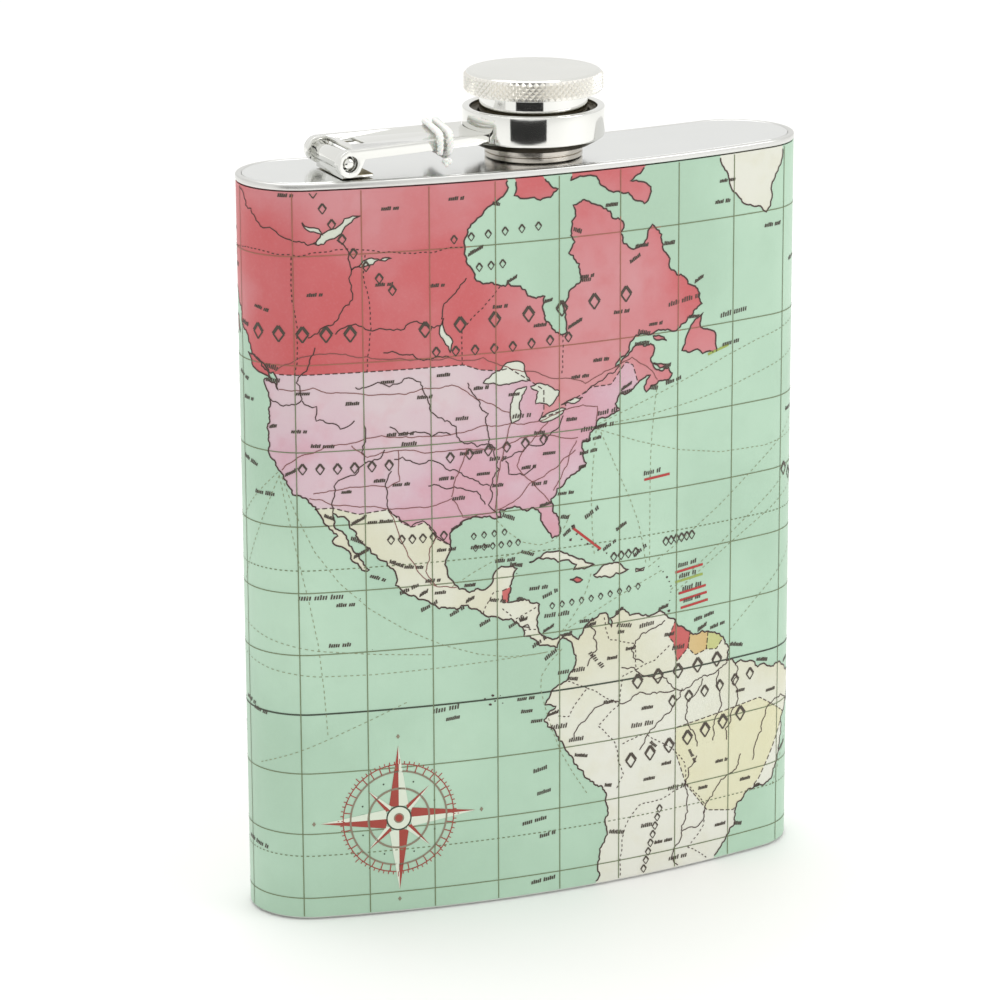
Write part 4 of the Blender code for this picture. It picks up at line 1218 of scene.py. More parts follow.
RIVERS = [
    [(-134, 65.6), (-129.5, 64.5), (-126, 62.8), (-122.4, 61.9), (-119, 61.2), (-116.5, 61)],
    [(-113.6, 61.2), (-111.8, 59.4), (-111.4, 56.7), (-113.2, 55), (-115.5, 53.8), (-118, 52.8)],
    [(-94.5, 57.4), (-96.8, 55.8), (-98.3, 53.8)],
    [(-98.5, 53.2), (-102, 53.8), (-106, 53.2), (-110, 53.6), (-114, 53)],
    [(-107, 50.9), (-104.6, 50.6), (-101, 49.8), (-97.2, 50)],
    [(-123.8, 46.2), (-120.5, 45.8), (-119, 46.4), (-119.8, 48.2), (-118, 50), (-117, 51.8)],
    [(-119, 46.2), (-116.9, 45.5), (-117, 43.8), (-113.5, 42.7), (-111.4, 43.6)],
    [(-114.8, 31.9), (-114.5, 34.5), (-113.9, 36.2), (-111.4, 36.8), (-109.8, 38.3), (-107, 39.8)],
    [(-109.9, 38.3), (-109.8, 41), (-110, 43)],
    [(-97.3, 25.9), (-99.4, 27.4), (-101.4, 29.8), (-103.2, 29), (-104.6, 30), (-106.6, 32),
     (-106.8, 34.8), (-106, 37)],
    [(-89.4, 29.3), (-91.3, 31.2), (-91, 33.4), (-89.6, 36), (-90.2, 38.8), (-91.3, 41),
     (-91.2, 43.2), (-93, 45), (-94.4, 47)],
    [(-90.2, 38.8), (-93, 39.2), (-95, 39.8), (-96.2, 42), (-98.4, 43.2), (-100.5, 45.5),
     (-101.5, 47.5), (-104, 48), (-108.5, 47.6), (-111.2, 47.4)],
    [(-89.2, 37), (-87.2, 37.9), (-84.9, 38.8), (-82.5, 38.6), (-80.6, 40.3), (-79.4, 42)],
    [(-91.1, 33.9), (-94.6, 35.4), (-97.2, 36.4), (-99.4, 37.8), (-103.2, 38.2), (-105.6, 38.5)],
    [(-91.8, 31.3), (-94, 33.4), (-97.4, 34), (-100.5, 34.6)],
    [(-88.6, 37), (-88.1, 35.2), (-85.8, 34.8), (-84, 36)],
    [(-97, 41), (-100, 41), (-103.2, 41.6), (-106.2, 42.6)],
    [(-69.8, 47.4), (-72, 46.3), (-74.2, 45.2), (-76.3, 44.3)],
    [(-50.4, -0.4), (-53.4, -2), (-56.4, -2.4), (-60, -3.2), (-63.4, -3.4), (-66.4, -2.6),
     (-69.8, -4), (-72.4, -3.5), (-74.6, -4.6), (-76.4, -6.2), (-77.6, -8.6)],
    [(-60, -3.2), (-62.4, -0.6), (-65.4, 0), (-67.4, 1.8), (-69.6, 2.2)],
    [(-58.8, -3.4), (-60.2, -5.6), (-62.6, -8.2), (-65, -10.2), (-66.4, -12.6)],
    [(-55, -2.4), (-57.4, -5.4), (-58.2, -8.4), (-56.6, -11.4), (-56, -14)],
    [(-52, -1.6), (-52.2, -4.4), (-51.4, -7.4), (-52.8, -10.4), (-53, -13.6)],
    [(-48.6, -1.4), (-49.4, -4.4), (-48.2, -7.4), (-49.6, -10.4), (-50.4, -14)],
    [(-36.6, -10.4), (-38.8, -8.8), (-41.2, -9.4), (-43.4, -12.4), (-44.4, -15.4), (-45.2, -18.6)],
    [(-58.4, -33.8), (-60.4, -31.4), (-58.8, -27.6), (-55.6, -27.2), (-54.4, -24.4),
     (-51.8, -21.2), (-49.2, -19.8), (-47.6, -17)],
    [(-58.8, -27.4), (-57.6, -24.6), (-57.8, -21), (-57.6, -17.4), (-56, -15.6)],
    [(-62, 9), (-64.8, 7.8), (-67.2, 6.4), (-67.6, 3.6), (-65.8, 2.4)],
    [(-75, 10.6), (-74.4, 8), (-73.8, 6), (-75.4, 3.4)],
    [(31, 31), (31.2, 28), (33, 24.8), (31, 21), (33.6, 17.6), (32.5, 15.4), (31, 9), (32, 2)],
    [(12.6, -6), (16, -2.4), (18.6, 1.6), (23, 2), (25.4, -1.6), (26.4, -6), (28.6, -10.6)],
    [(6, 4.6), (6.6, 8.6), (4.2, 12), (0, 16.4), (-4.4, 15), (-8.4, 11.8), (-10.6, 9.4)],
    [(36.4, -18.6), (33, -16.4), (29, -16.2), (25.6, -17.8), (23, -14)],
    [(29, 45.2), (25.4, 43.8), (21, 45), (18.8, 47.6), (14, 48.3), (9, 48)],
    [(47.6, 46), (45.2, 48.8), (48, 52.4), (49, 55.6), (44, 56.4), (38, 57.6)],
]
BORDERS = [
    [(-109.5, 49), (-109.5, 60)], [(-95.2, 49), (-95.2, 52.6), (-89, 56.6)],
    [(-79.6, 47), (-79.4, 51.4)], [(-120, 49), (-120.2, 60)], [(-134, 60), (-95, 60)],
    [(-80.2, -4.4), (-78.4, -4.8), (-77.4, -2.8), (-75.4, -0.4), (-77.6, 0.8), (-78.8, 1.4)],
    [(-75.4, -0.4), (-70, -4.2), (-69.4, 0.8), (-67, 1.4), (-67.4, 6), (-71.8, 7.4), (-72.6, 11.4)],
    [(-70, -4.2), (-73.6, -7.2), (-70.6, -10.8), (-69.2, -16.2), (-70.4, -18.4)],
    [(-69.4, -11), (-65.2, -10), (-60.4, -13.6), (-58.2, -16.4), (-58, -20), (-62.4, -21.6),
     (-66.4, -21.8), (-68.4, -24), (-69.8, -30), (-70, -34)],
    [(-67, 1.4), (-63.8, 2.4), (-60.8, 5)], [(-57.6, -30.2), (-53.6, -32.8)],
    [(-57.8, -20), (-54.4, -24), (-54.6, -27.2), (-57.6, -30.2)],
    [(-92.2, 14.6), (-90.6, 17.8), (-89.2, 17.9)], [(-85.8, 11), (-83.8, 10.9)],
    [(-89.2, 15), (-87.4, 13.2)], [(-83.2, 15), (-87.2, 13)],
    [(-1.8, 34.8), (-1.4, 32.2), (-8.4, 28.8), (-8.6, 27.4), (-4.8, 25)],
    [(9.6, 30.2), (9.4, 26.4), (14.8, 23), (24, 19.6), (24, 31.4)],
    [(15, 13), (15.8, 16.8), (14.8, 23)], [(24, 19.6), (22, 13), (24.4, 8.8), (28, 5)],
    [(15.8, 7.4), (19, 9), (22.6, 11)], [(40, 17), (36.4, 14.4), (34, 9), (35.8, 5), (41.8, 3.8)],
    [(41.8, 3.8), (45, 5), (48, 8), (43.2, 11.2)],
    [(30.6, -1), (34, -1), (37.6, -3.2), (39.2, -4.6)],
    [(30, -8.4), (33, -9.4), (34.6, -11.6), (40.4, -10.6)], [(24, -11), (24, -17.6), (28, -16)],
    [(20, -22), (20, -28.4), (16.6, -28.6)], [(-11.6, 12.4), (-8, 10.2), (-7.6, 5.6)],
    [(-3, 10), (-2.8, 5.2)], [(1, 6.2), (0.8, 11)], [(3.4, 11.8), (2.6, 6.6)],
    [(2.6, 50.8), (6.2, 49.6), (8, 48.8), (7.6, 47.6)], [(14.2, 53.8), (15, 51), (12.4, 50.2)],
    [(13.6, 46.6), (16.4, 46.6), (17.2, 48), (22.4, 48.2), (26.6, 47.6), (28.2, 45.4)],
    [(18.4, 42.4), (22.4, 44.4), (28.4, 43.8)], [(20.4, 40), (22, 41.4), (26.2, 41.8)],
    [(19.4, 54.4), (23, 54), (23.6, 51.4), (22.6, 49.2)], [(24, 65.8), (28.6, 69), (28, 62.4)],
    [(-7.2, 42), (-7, 39.6), (-7.4, 37.2)], [(12.2, 64.6), (13, 61.4), (11.4, 59)],
    [(35.2, 32.6), (38.8, 33.4), (44.6, 29.2), (48, 28.6)],
    [(44.8, 39.6), (46.2, 38.8), (48.6, 38.6)],
    [(52, 19), (55, 20.4), (55.2, 22.8)], [(42.8, 16.6), (45.6, 17.4), (52, 19)],
    [(54, 37.4), (58, 38.2), (61, 36.8), (66.4, 37.4), (71, 38)], [(66.4, 29.4), (61.6, 29.6)],
]
RAILWAYS = [
    [(-122.2, 37.7), (-119.8, 39.4), (-115.4, 40.8), (-111.9, 40.9), (-107.4, 41.6), (-104.8, 41.2),
     (-100.8, 41.1), (-96, 41.2), (-91.8, 41.8), (-87.7, 41.8), (-83.6, 41.6), (-78.8, 42.7),
     (-76.2, 43), (-73.8, 42.6), (-74, 40.8)],
    [(-111.9, 40.6), (-109.6, 39), (-105.1, 39.6), (-100.4, 39), (-94.6, 39.1), (-90.3, 38.6),
     (-86.2, 39.8), (-82.4, 39.9), (-77, 39)],
    [(-118.2, 34), (-114.6, 32.9), (-110.8, 32.4), (-106.6, 31.9), (-101.8, 31.8), (-97, 32.6),
     (-95.3, 29.8), (-90.4, 30.1), (-86, 32.2), (-84.4, 33.8), (-80.8, 35.2), (-77.4, 37.4)],
    [(-122.4, 47.4), (-117.4, 47.6), (-112, 46.8), (-106.6, 46.4), (-100.8, 46.8), (-96.8, 46.9),
     (-93.2, 45.1), (-87.9, 43.1), (-87.7, 41.9)],
    [(-123, 49.3), (-119.6, 50.7), (-114.2, 51.1), (-108, 50.3), (-101.4, 49.9), (-97.2, 49.9),
     (-92, 49.6), (-89.4, 48.6), (-84.6, 47.6), (-79.6, 46.4), (-75.8, 45.5), (-71.4, 46.8),
     (-68, 47.8), (-65, 46.2), (-63.6, 44.8)],
    [(-106.4, 31.6), (-104.6, 27), (-102.4, 22.6), (-99.2, 19.6), (-96.3, 19.2)],
    [(-99.4, 27.4), (-100.4, 25.6), (-101, 22.2), (-99.4, 19.8)],
    [(-90.4, 30), (-89.8, 35), (-88.8, 38.6), (-87.8, 41.7)],
    [(-81.6, 30.4), (-84.2, 33.6), (-86.8, 36.2), (-85.8, 38.2), (-84.4, 39.2), (-81.8, 41.4)],
    [(-105, 39.6), (-104.8, 35.6), (-106.6, 34.8), (-111.4, 35.2), (-117.6, 34.6)],
    [(-97, 32.8), (-95.8, 36.2), (-94.6, 39)], [(-81, 32.2), (-78.8, 35.4), (-77.2, 38.6)],
    [(2.4, 48.8), (6.2, 48.6), (11.6, 48.2), (16.4, 48.2), (19, 47.4), (23.4, 43), (28.8, 41.2)],
    [(2.4, 48.8), (4.4, 50.8), (9.6, 52.4), (13.4, 52.6), (21, 52.2), (27.6, 53.8), (37.6, 55.8)],
    [(37.6, 55.8), (30.4, 59.8)],
    [(37.6, 55.8), (49.2, 53.2), (55.8, 54.6), (61.4, 55.2), (73, 55)],
    [(2.4, 48.6), (0, 44.6), (-3.6, 40.4), (-9, 38.8)],
    [(2.4, 48.6), (4.8, 45.8), (7.6, 45), (12.4, 42)],
    [(31.2, 30.2), (31, 26.4), (33, 24), (32.6, 19), (32.4, 15.8)],
    [(18.4, -33.8), (24.6, -28.8), (27.8, -26.4), (28.6, -20), (25.8, -17.8), (28.4, -13)],
    [(27.8, -26.4), (32.4, -25.8)], [(39.6, -4), (36.8, -1.2), (34.6, 0)],
    [(28.8, 41), (33, 39.8), (36.8, 37)],
    [(3.4, 6.6), (4.6, 9), (8.4, 12)], [(-17.2, 14.6), (-12, 13.8), (-8, 12.8)],
    [(61.4, 55.2), (65, 47), (60, 41), (58.4, 38)], [(38.8, 47.4), (37.6, 51), (37.6, 55.8)],
]
# Steamer routes, drawn as dots.
ROUTES = [
    [(-122.8, 37.4), (-128, 33), (-131, 29.6)], [(-122.6, 37), (-127, 28), (-131, 20)],
    [(-122.2, 36.8), (-118, 26), (-110, 16.6), (-98, 9.4), (-88, 6.4), (-80, 7)],
    [(-122.6, 37), (-120, 25), (-117, 12), (-116, -4)], [(-131, 14), (-118, 10.4), (-100, 8.6)],
    [(-131, 8.6), (-118, 6), (-100, 6.2), (-82, 6.8)], [(-127, -9), (-115, -4), (-104, 1)],
    [(-79.6, 7), (-83.6, 3), (-82.6, -2), (-80, -11), (-75, -19)],
    [(-73.6, 40.4), (-66, 42.4), (-56, 45), (-46, 47.6), (-30, 49.6), (-12, 51.2)],
    [(-73.6, 40.2), (-64, 40.6), (-50, 42.4), (-34, 46), (-8, 49.2)],
    [(-73.6, 40), (-70, 33), (-66.6, 26), (-65.4, 18.8)], [(-74, 39.6), (-75, 30), (-74.2, 21)],
    [(-74, 39.8), (-60, 35), (-44, 33), (-24, 36.6), (-9.6, 38.6)],
    [(-65, 18.4), (-52, 26), (-38, 36), (-20, 45), (-6, 49.6)], [(-61, 14), (-46, 24), (-26, 37)],
    [(-60, 13.6), (-40, 26), (-18, 33)], [(-50, 5), (-40, 14), (-26, 24), (-17, 31.6)],
    [(-34.6, -7.6), (-30, 4), (-24.6, 16), (-17.6, 28)], [(-41, -23.6), (-34, -10), (-33, -6)],
    [(-90, 28.8), (-86, 24.6), (-80.4, 24.2), (-78, 29)], [(-97, 19.4), (-90, 23.4), (-84, 23.8)],
    [(-79.6, 10), (-76, 14.4), (-74.6, 19.6)], [(-79.4, 10), (-70, 14.6), (-62.4, 17.6)],
    [(-63.6, 44.4), (-64.6, 38), (-64.8, 32.6), (-64.8, 19)],
    [(18, -34), (4, -18), (-12, 2), (-18.6, 14), (-17, 27), (-10, 41), (-6, 48)],
    [(44, 12.2), (54, 14), (70, 18)], [(44, 12), (52, 2), (58, -14), (64, -26)],
]
# Place names stand as rows of ticks: where they start, how many, how tall, their slope.
NAMES = [
    (-131, 48.3, 9, 0.75, -18), (-129.5, 45.6, 8, 0.75, 0), (-130, 38.4, 11, 0.8, -14),
    (-127, 34.1, 11, 0.8, 0), (-106.6, 41.4, 14, 0.7, 0), (-117.8, 40.6, 12, 0.7, -4),
    (-104.4, 40.1, 7, 0.8, 0), (-96.2, 42.7, 6, 0.8, 0), (-95.6, 38.3, 12, 0.7, 0),
    (-91, 37.2, 8, 0.8, 0), (-96.8, 32.3, 6, 0.8, 0), (-105.8, 34.9, 9, 0.7, 0),
    (-87.4, 42.3, 8, 0.9, 0), (-93.4, 46.1, 8, 0.7, 0), (-84.4, 33.2, 8, 0.75, 0),
    (-80.2, 31.4, 9, 0.7, 0), (-76.4, 39.6, 14, 0.95, 4), (-73.6, 41.4, 9, 0.9, 6),
    (-76.2, 38.2, 11, 0.7, 6), (-76.6, 36.6, 10, 0.7, 6), (-70, 43.6, 7, 0.75, 8),
    (-74.4, 47.8, 9, 0.7, 0), (-78, 46.2, 10, 0.7, 0), (-65, 50.9, 8, 0.7, 0),
    (-61.6, 52.6, 14, 0.95, 8), (-52.2, 50.6, 12, 1.0, 6), (-51.8, 47.4, 9, 0.85, 6),
    (-62, 44, 9, 0.75, 12), (-99.2, 25, 10, 0.7, 0), (-109.6, 29.9, 13, 0.7, 0),
    (-104.2, 22.9, 10, 0.7, -6), (-101, 20.4, 8, 0.7, 0), (-99.6, 18.4, 6, 0.7, 0),
    (-120, 18.9, 17, 0.95, 0), (-114.4, 17.6, 9, 0.75, 0), (-104.8, 18.8, 10, 0.75, 22),
    (-101.6, 15.8, 9, 0.75, 26), (-97.2, 14.6, 8, 0.75, 26), (-92.6, 12.4, 6, 0.75, 26),
    (-109.4, 21.9, 8, 0.75, -20), (-115.6, 11.1, 10, 0.8, 0), (-94, 24.9, 9, 0.8, 0),
    (-86.2, 23.5, 7, 0.75, -20), (-90.2, 22.4, 10, 0.75, 0), (-84.8, 17.4, 9, 0.8, 0),
    (-82.6, 15.8, 8, 0.8, 20), (-82.4, 12.6, 11, 0.9, 0), (-91.2, 16.4, 9, 0.7, -10),
    (-88, 11.6, 9, 0.75, 28), (-84.2, 7.8, 8, 0.8, 30), (-82.2, 5.4, 7, 0.8, 34),
    (-100, -1.4, 10, 1.0, 6), (-98, -2.9, 7, 0.75, 6), (-86.8, -0.9, 9, 0.75, 0),
    (-86.2, -3.1, 6, 0.75, 0), (-84.6, -5, 6, 0.75, 0), (-80.2, 2.7, 12, 0.9, 0),
    (-81.4, -6.6, 7, 0.95, 0), (-78.4, -9.2, 7, 0.85, 0), (-84.2, -13.6, 7, 0.8, 12),
    (-83.6, -17.4, 7, 0.8, 10), (-86, -22, 12, 0.8, 8), (-83.2, -24.4, 8, 0.8, 8),
    (-84.6, -31.4, 12, 0.8, 6), (-76.6, 10.9, 8, 0.75, 0), (-70.4, 9.3, 7, 0.9, -10),
    (-66.4, 8.4, 7, 0.9, 6), (-75.2, 5.4, 9, 0.95, -50), (-72, 3.9, 6, 0.7, 0),
    (-60.6, 3.6, 6, 0.9, 0), (-70.2, 8.1, 4, 0.7, 0), (-67.8, -8.6, 10, 0.95, 0),
    (-64.6, -11.8, 5, 0.7, -40), (-61.2, -20.4, 8, 0.95, 0), (-66, -25.6, 6, 0.8, 0),
    (-63.6, -28.6, 11, 0.7, 0), (-61, -31.6, 9, 0.9, 0), (-56.6, -33.2, 9, 0.8, 0),
    (-57.6, -14.4, 9, 0.7, -64), (-70.4, 24.9, 7, 0.7, 30), (-75.6, 27.4, 8, 0.8, 32),
    (-79.2, 25.2, 8, 0.7, 34), (-72.6, 22.1, 8, 0.75, 30), (-67.4, 20.4, 8, 0.8, 32),
    (-65.8, 32.5, 8, 0.9, 4), (-59.6, 17.4, 9, 0.9, 6), (-59.4, 15.6, 8, 0.95, 6),
    (-58.8, 13.4, 9, 0.95, 6), (-58.6, 11.4, 9, 0.85, 6), (-56.6, 7.8, 12, 0.75, 10),
    (-53.6, 5.9, 9, 0.75, 10), (-52.6, 62.8, 10, 0.7, 0), (-53.4, 61.2, 9, 0.75, 0),
    (-44, 58.6, 10, 0.8, 0), (-128.4, -0.3, 9, 0.8, -6), (-131, 0.9, 8, 0.9, -10),
    (-131, -22.6, 14, 0.9, -6), (-38, 55, 10, 0.8, 4), (-38.4, 37.6, 8, 0.8, 0),
    (-30, 12, 12, 0.8, 0), (-24.6, 15.2, 8, 0.8, 0), (-16, 28.6, 8, 0.8, 0),
    (5.4, 52.4, 8, 0.8, 0), (1, 47.2, 8, 1.0, 0), (-6.4, 40.4, 8, 1.0, 0), (10.6, 51.6, 9, 1.0, 0),
    (20, 47.6, 10, 0.9, 0), (29.6, 55.8, 9, 0.9, 0), (31, 39.2, 10, 1.0, 0),
    (44, 24, 9, 1.0, -20), (53, 33, 9, 1.0, 0), (3, 22, 10, 1.0, 0), (27.6, 26.4, 7, 1.0, 0),
    (28, 14, 8, 1.0, 0), (5.6, 9, 8, 0.8, 0), (20, -3, 9, 1.0, 0), (34, -6.4, 8, 0.8, 0),
    (22, -30, 9, 0.9, 0), (16, -14, 8, 0.9, 0), (45.6, -19, 8, 0.8, 70), (40, 8, 9, 0.8, 0),
    (-9.6, 56.6, 8, 0.8, 0), (-22.6, 61.4, 9, 0.8, 6), (-4, 60.8, 7, 0.8, 0), (1.6, 57, 10, 0.9, 0),
    (-20, 48, 12, 0.9, 4), (-26, 41.6, 10, 0.8, 0), (-18, 21, 7, 0.8, 0), (-8, 32, 7, 0.8, 0),
    (2, 33.4, 8, 0.8, 0), (14, 27.6, 10, 0.9, 0), (-4.6, 18.6, 8, 0.8, 0), (14, 19.4, 7, 0.8, 0),
    (18, 12.6, 9, 0.9, 0), (-10.6, 13.6, 7, 0.7, 0), (-14, 8, 7, 0.7, -20), (-6, 8.2, 6, 0.7, 0),
    (-8, 2.4, 10, 0.8, 0), (4, 1.4, 9, 0.8, 0), (0, -6, 10, 0.8, 0), (4, -14, 9, 0.8, 0),
    (6, -24, 8, 0.9, 0), (12.6, 6, 7, 0.7, 0), (25, -5, 8, 0.7, 0), (19.6, -7.8, 8, 0.7, 0),
    (30.6, -4.4, 7, 0.7, 0), (35.6, 0.8, 6, 0.7, 0), (25, -14.4, 7, 0.7, 0), (22.6, -20, 9, 0.8, 0),
    (27, -23.4, 7, 0.7, 0), (19.4, -25.6, 6, 0.7, 0), (28.6, -27.6, 6, 0.7, 0),
    (35, -14.6, 6, 0.7, 40),
    (36, 9.6, 7, 0.8, 0), (44.6, 6.6, 8, 0.7, 30), (44, -6, 10, 0.8, 0), (48.6, -9.6, 8, 0.7, 0),
    (54, -19, 9, 0.7, 0), (34, 18, 8, 0.7, 0), (37.6, 30.6, 9, 0.7, 0), (42.4, 20.4, 9, 0.7, -30),
    (48.6, 17, 8, 0.7, 20), (51, 21.8, 6, 0.7, 0), (45, 27.2, 8, 0.7, 0), (43, 33, 9, 0.8, 0),
    (50.8, 36, 6, 0.7, 0), (56, 34.6, 9, 0.8, 0), (62, 31.8, 8, 0.8, 0), (62, 27.6, 9, 0.7, 0),
    (57, 41, 9, 0.8, 0), (60, 45.6, 10, 0.8, 0), (54.6, 49.6, 9, 0.8, 0), (64, 51.8, 8, 0.8, 0),
    (46, 51, 9, 0.8, 0), (44, 58.6, 9, 0.9, 0), (52, 58.4, 10, 0.8, 0), (62, 59, 9, 0.8, 0),
    (34, 52, 9, 0.8, 0), (28, 50, 9, 0.8, 0), (32, 61.8, 10, 0.8, 0), (44, 63.6, 9, 0.8, 0),
    (56, 64, 11, 0.8, 0), (13.6, 63, 7, 0.7, 60), (8.2, 60.6, 6, 0.7, 0), (22.2, 63, 6, 0.7, 60),
    (18.6, 51.8, 7, 0.7, 0), (24.8, 45.8, 6, 0.7, 0), (14.6, 49.4, 6, 0.7, 0),
    (10.6, 45.6, 6, 0.6, 0),
    (-0.6, 45, 6, 0.7, 0), (-5, 38.6, 6, 0.6, 0), (-4.6, 42.6, 6, 0.6, 0), (3.6, 36, 8, 0.6, 0),
    (18, 34.6, 12, 0.8, 4), (31.4, 43.2, 8, 0.8, 0), (50.2, 41, 6, 0.7, -80), (36.6, 38, 7, 0.7, 0),
    (55.6, 14.6, 9, 0.8, 10), (59.6, 8, 9, 0.8, 0), (63, 17, 8, 0.8, 0), (61.4, -12, 9, 0.8, 0),
    (-30, -20, 10, 0.8, 0), (-20, -8.6, 11, 0.8, 0), (-12, -27, 10, 0.9, 0), (-28, 2.4, 9, 0.8, 0),
    (-112.6, 45.4, 7, 0.7, 0), (-102, 45.6, 8, 0.7, 0), (-99, 47.9, 7, 0.7, 0),
    (-108.6, 35.6, 6, 0.7, 0),
    (-113.4, 34.4, 6, 0.6, 0), (-119.8, 46.8, 7, 0.7, 0), (-120.6, 42.4, 8, 0.7, 0),
    (-88, 45, 6, 0.7, 0),
    (-90.6, 33.6, 6, 0.7, 0), (-93, 35.4, 7, 0.7, 0), (-82.6, 37.2, 7, 0.7, 0),
    (-98.8, 35.2, 8, 0.7, 0),
    (-78.8, 41.2, 6, 0.7, 0), (-84, 40, 6, 0.7, 0), (-86, 35.6, 8, 0.7, 0),
    (-107.4, 47.6, 7, 0.7, 0),
    (-126.4, 55.4, 9, 0.7, -12), (-118, 56.6, 8, 0.7, 0), (-108, 57.2, 9, 0.7, 0),
    (-100, 56.8, 8, 0.7, 0),
    (-90.4, 54.4, 8, 0.7, 0), (-84, 52.2, 7, 0.7, 0), (-76.6, 56.4, 8, 0.7, 0),
    (-71, 52.6, 9, 0.7, 0),
    (-68.2, 57.2, 7, 0.7, 30), (-97, 63.6, 8, 0.7, 0), (-107, 63.2, 9, 0.7, 0),
    (-122, 64.4, 8, 0.7, 0),
    (-48.6, -6.2, 6, 0.7, 0), (-42.6, -7.4, 7, 0.7, 0), (-52.4, -17.6, 8, 0.7, 0),
    (-55.6, -21.4, 6, 0.7, 0),
    (-47.6, -21.6, 7, 0.7, 0), (-52.4, -28, 7, 0.7, 0), (-72.6, -3.6, 6, 0.7, 0),
    (-66, -5.8, 7, 0.7, 0),
    (-62, 6.2, 6, 0.7, 0), (-68.8, 5, 6, 0.7, 0), (-65.6, -18, 7, 0.7, 0), (-62.4, -16, 6, 0.7, 0),
]
# Titles stand as rows of beads along a curve: the curve, how many, how tall.
TITLES = [
    ([(-127.6, 53.2), (-119, 53.1), (-110, 52.9)], 5, 2.0),
    ([(-103.4, 52.8), (-94, 53.2), (-79, 53.8), (-66.4, 54.6)], 7, 2.0),
    ([(-117.6, 65.2), (-113.8, 61.9), (-110.6, 59.6), (-104.6, 56.2)], 8, 1.3),
    ([(-100.6, 50.6), (-89, 50.4), (-77, 50.9)], 8, 1.3),
    ([(-120.4, 37.9), (-113, 37.7), (-105, 37.8)], 6, 1.4),
    ([(-98.6, 38), (-91, 38.6), (-81, 39.4)], 6, 1.4),
    ([(-107, 27.4), (-102, 27.2), (-97.4, 27.4)], 6, 1.2),
    ([(-97.6, 60.6), (-88.4, 61), (-82, 61.2)], 6, 1.1),
    ([(-93.4, 58.2), (-88, 58.4)], 3, 1.1),
    ([(-94.4, 26.8), (-88, 27)], 4, 0.9), ([(-94, 25), (-86, 25.2)], 6, 0.9),
    ([(-82, 14.4), (-74, 14.8), (-66, 15.6)], 10, 0.9),
    ([(-71.6, 20.9), (-66.6, 21.2)], 4, 1.2), ([(-62.4, 22), (-56.8, 22.4)], 6, 1.2),
    ([(-68.6, -0.8), (-60, -0.2), (-50.6, 0.6)], 5, 2.0),
    ([(-69.6, -14.4), (-60, -12.6), (-46, -9.6)], 7, 2.0),
    ([(-62, -5.4), (-54, -4.6), (-44.4, -3.2)], 6, 1.6),
    ([(-62.6, -22.4), (-64, -27), (-65.8, -32.6)], 8, 1.1),
    ([(-40, 30), (-32, 26), (-22, 22)], 8, 1.8), ([(-5, 20), (12, 16), (30, 8)], 6, 2.0),
    ([(8, 58), (24, 52), (44, 52)], 6, 2.0), ([(44, 46), (54, 44), (64, 44)], 4, 2.0),
    ([(50, 4), (58, 0), (66, -6)], 6, 1.6),
]
# A lozenge's tips, for a height of two.
DIAMOND = [(0.0, 1.0), (-0.75, 0.0), (0.0, -1.0), (0.75, 0.0)]
# Small islands: a place and a size in millimetres each.
SPECKS = [
    (-92, 0.2, 0.32), (-90.8, 0.6, 0.5), (-90.4, -0.4, 0.35), (-89.6, 0.4, 0.25),
    (-91.2, -0.9, 0.5),
    (-89.2, -0.9, 0.25), (-77.9, 26.6, 0.5), (-77.2, 25.3, 0.42), (-78.2, 24.6, 0.55),
    (-76.4, 24.4, 0.34), (-75.4, 23.6, 0.42), (-74.6, 23, 0.3), (-73.6, 22.4, 0.42),
    (-72.2, 21.7, 0.34), (-63.2, 18.2, 0.25), (-62.4, 17.2, 0.3), (-61.7, 16.2, 0.45),
    (-61.3, 15.4, 0.3), (-61, 14.6, 0.32), (-61, 13.6, 0.26), (-61.2, 12.2, 0.24),
    (-61.3, 10.5, 0.6),
    (-59.5, 13.1, 0.25), (-110.9, 18.7, 0.2), (-109.2, 10.3, 0.15), (-28, 38.5, 0.35),
    (-25.4, 37.7, 0.35), (-17, 32.7, 0.3), (-16.5, 28.3, 0.42), (-15.5, 28, 0.35),
    (-13.9, 28.6, 0.35), (-24.3, 15, 0.35), (-23.5, 15.2, 0.3), (-5.7, -15.9, 0.2),
    (6.6, 0.2, 0.25),
    (24.9, 35.2, 0.6), (33.2, 35, 0.5), (57.6, -20.2, 0.4), (55.5, -21.1, 0.4), (43.4, -11.7, 0.35),
    (55.5, -4.7, 0.25), (53.9, 12.5, 0.4), (-86.9, 20.4, 0.22), (-64.8, 32.3, 0.2),
]
# Bars under names: start, length in millimetres, slope and ink.
BARS = [
    (-65.8, 31.9, 5.2, 4, "ink_red"), (-60.2, 16.7, 5.6, 6, "ink_red"),
    (-60.2, 15.1, 5.6, 6, "ink_green"), (-59.6, 13.1, 5.8, 6, "ink_red"),
    (-59.4, 11.9, 5.8, 6, "ink_red"), (-59.2, 10.6, 5.4, 6, "ink_red"),
    (-77.9, 26.4, 6.6, -40, "ink_red"), (-54.6, 46.8, 4.6, 14, "ink_green"),
]


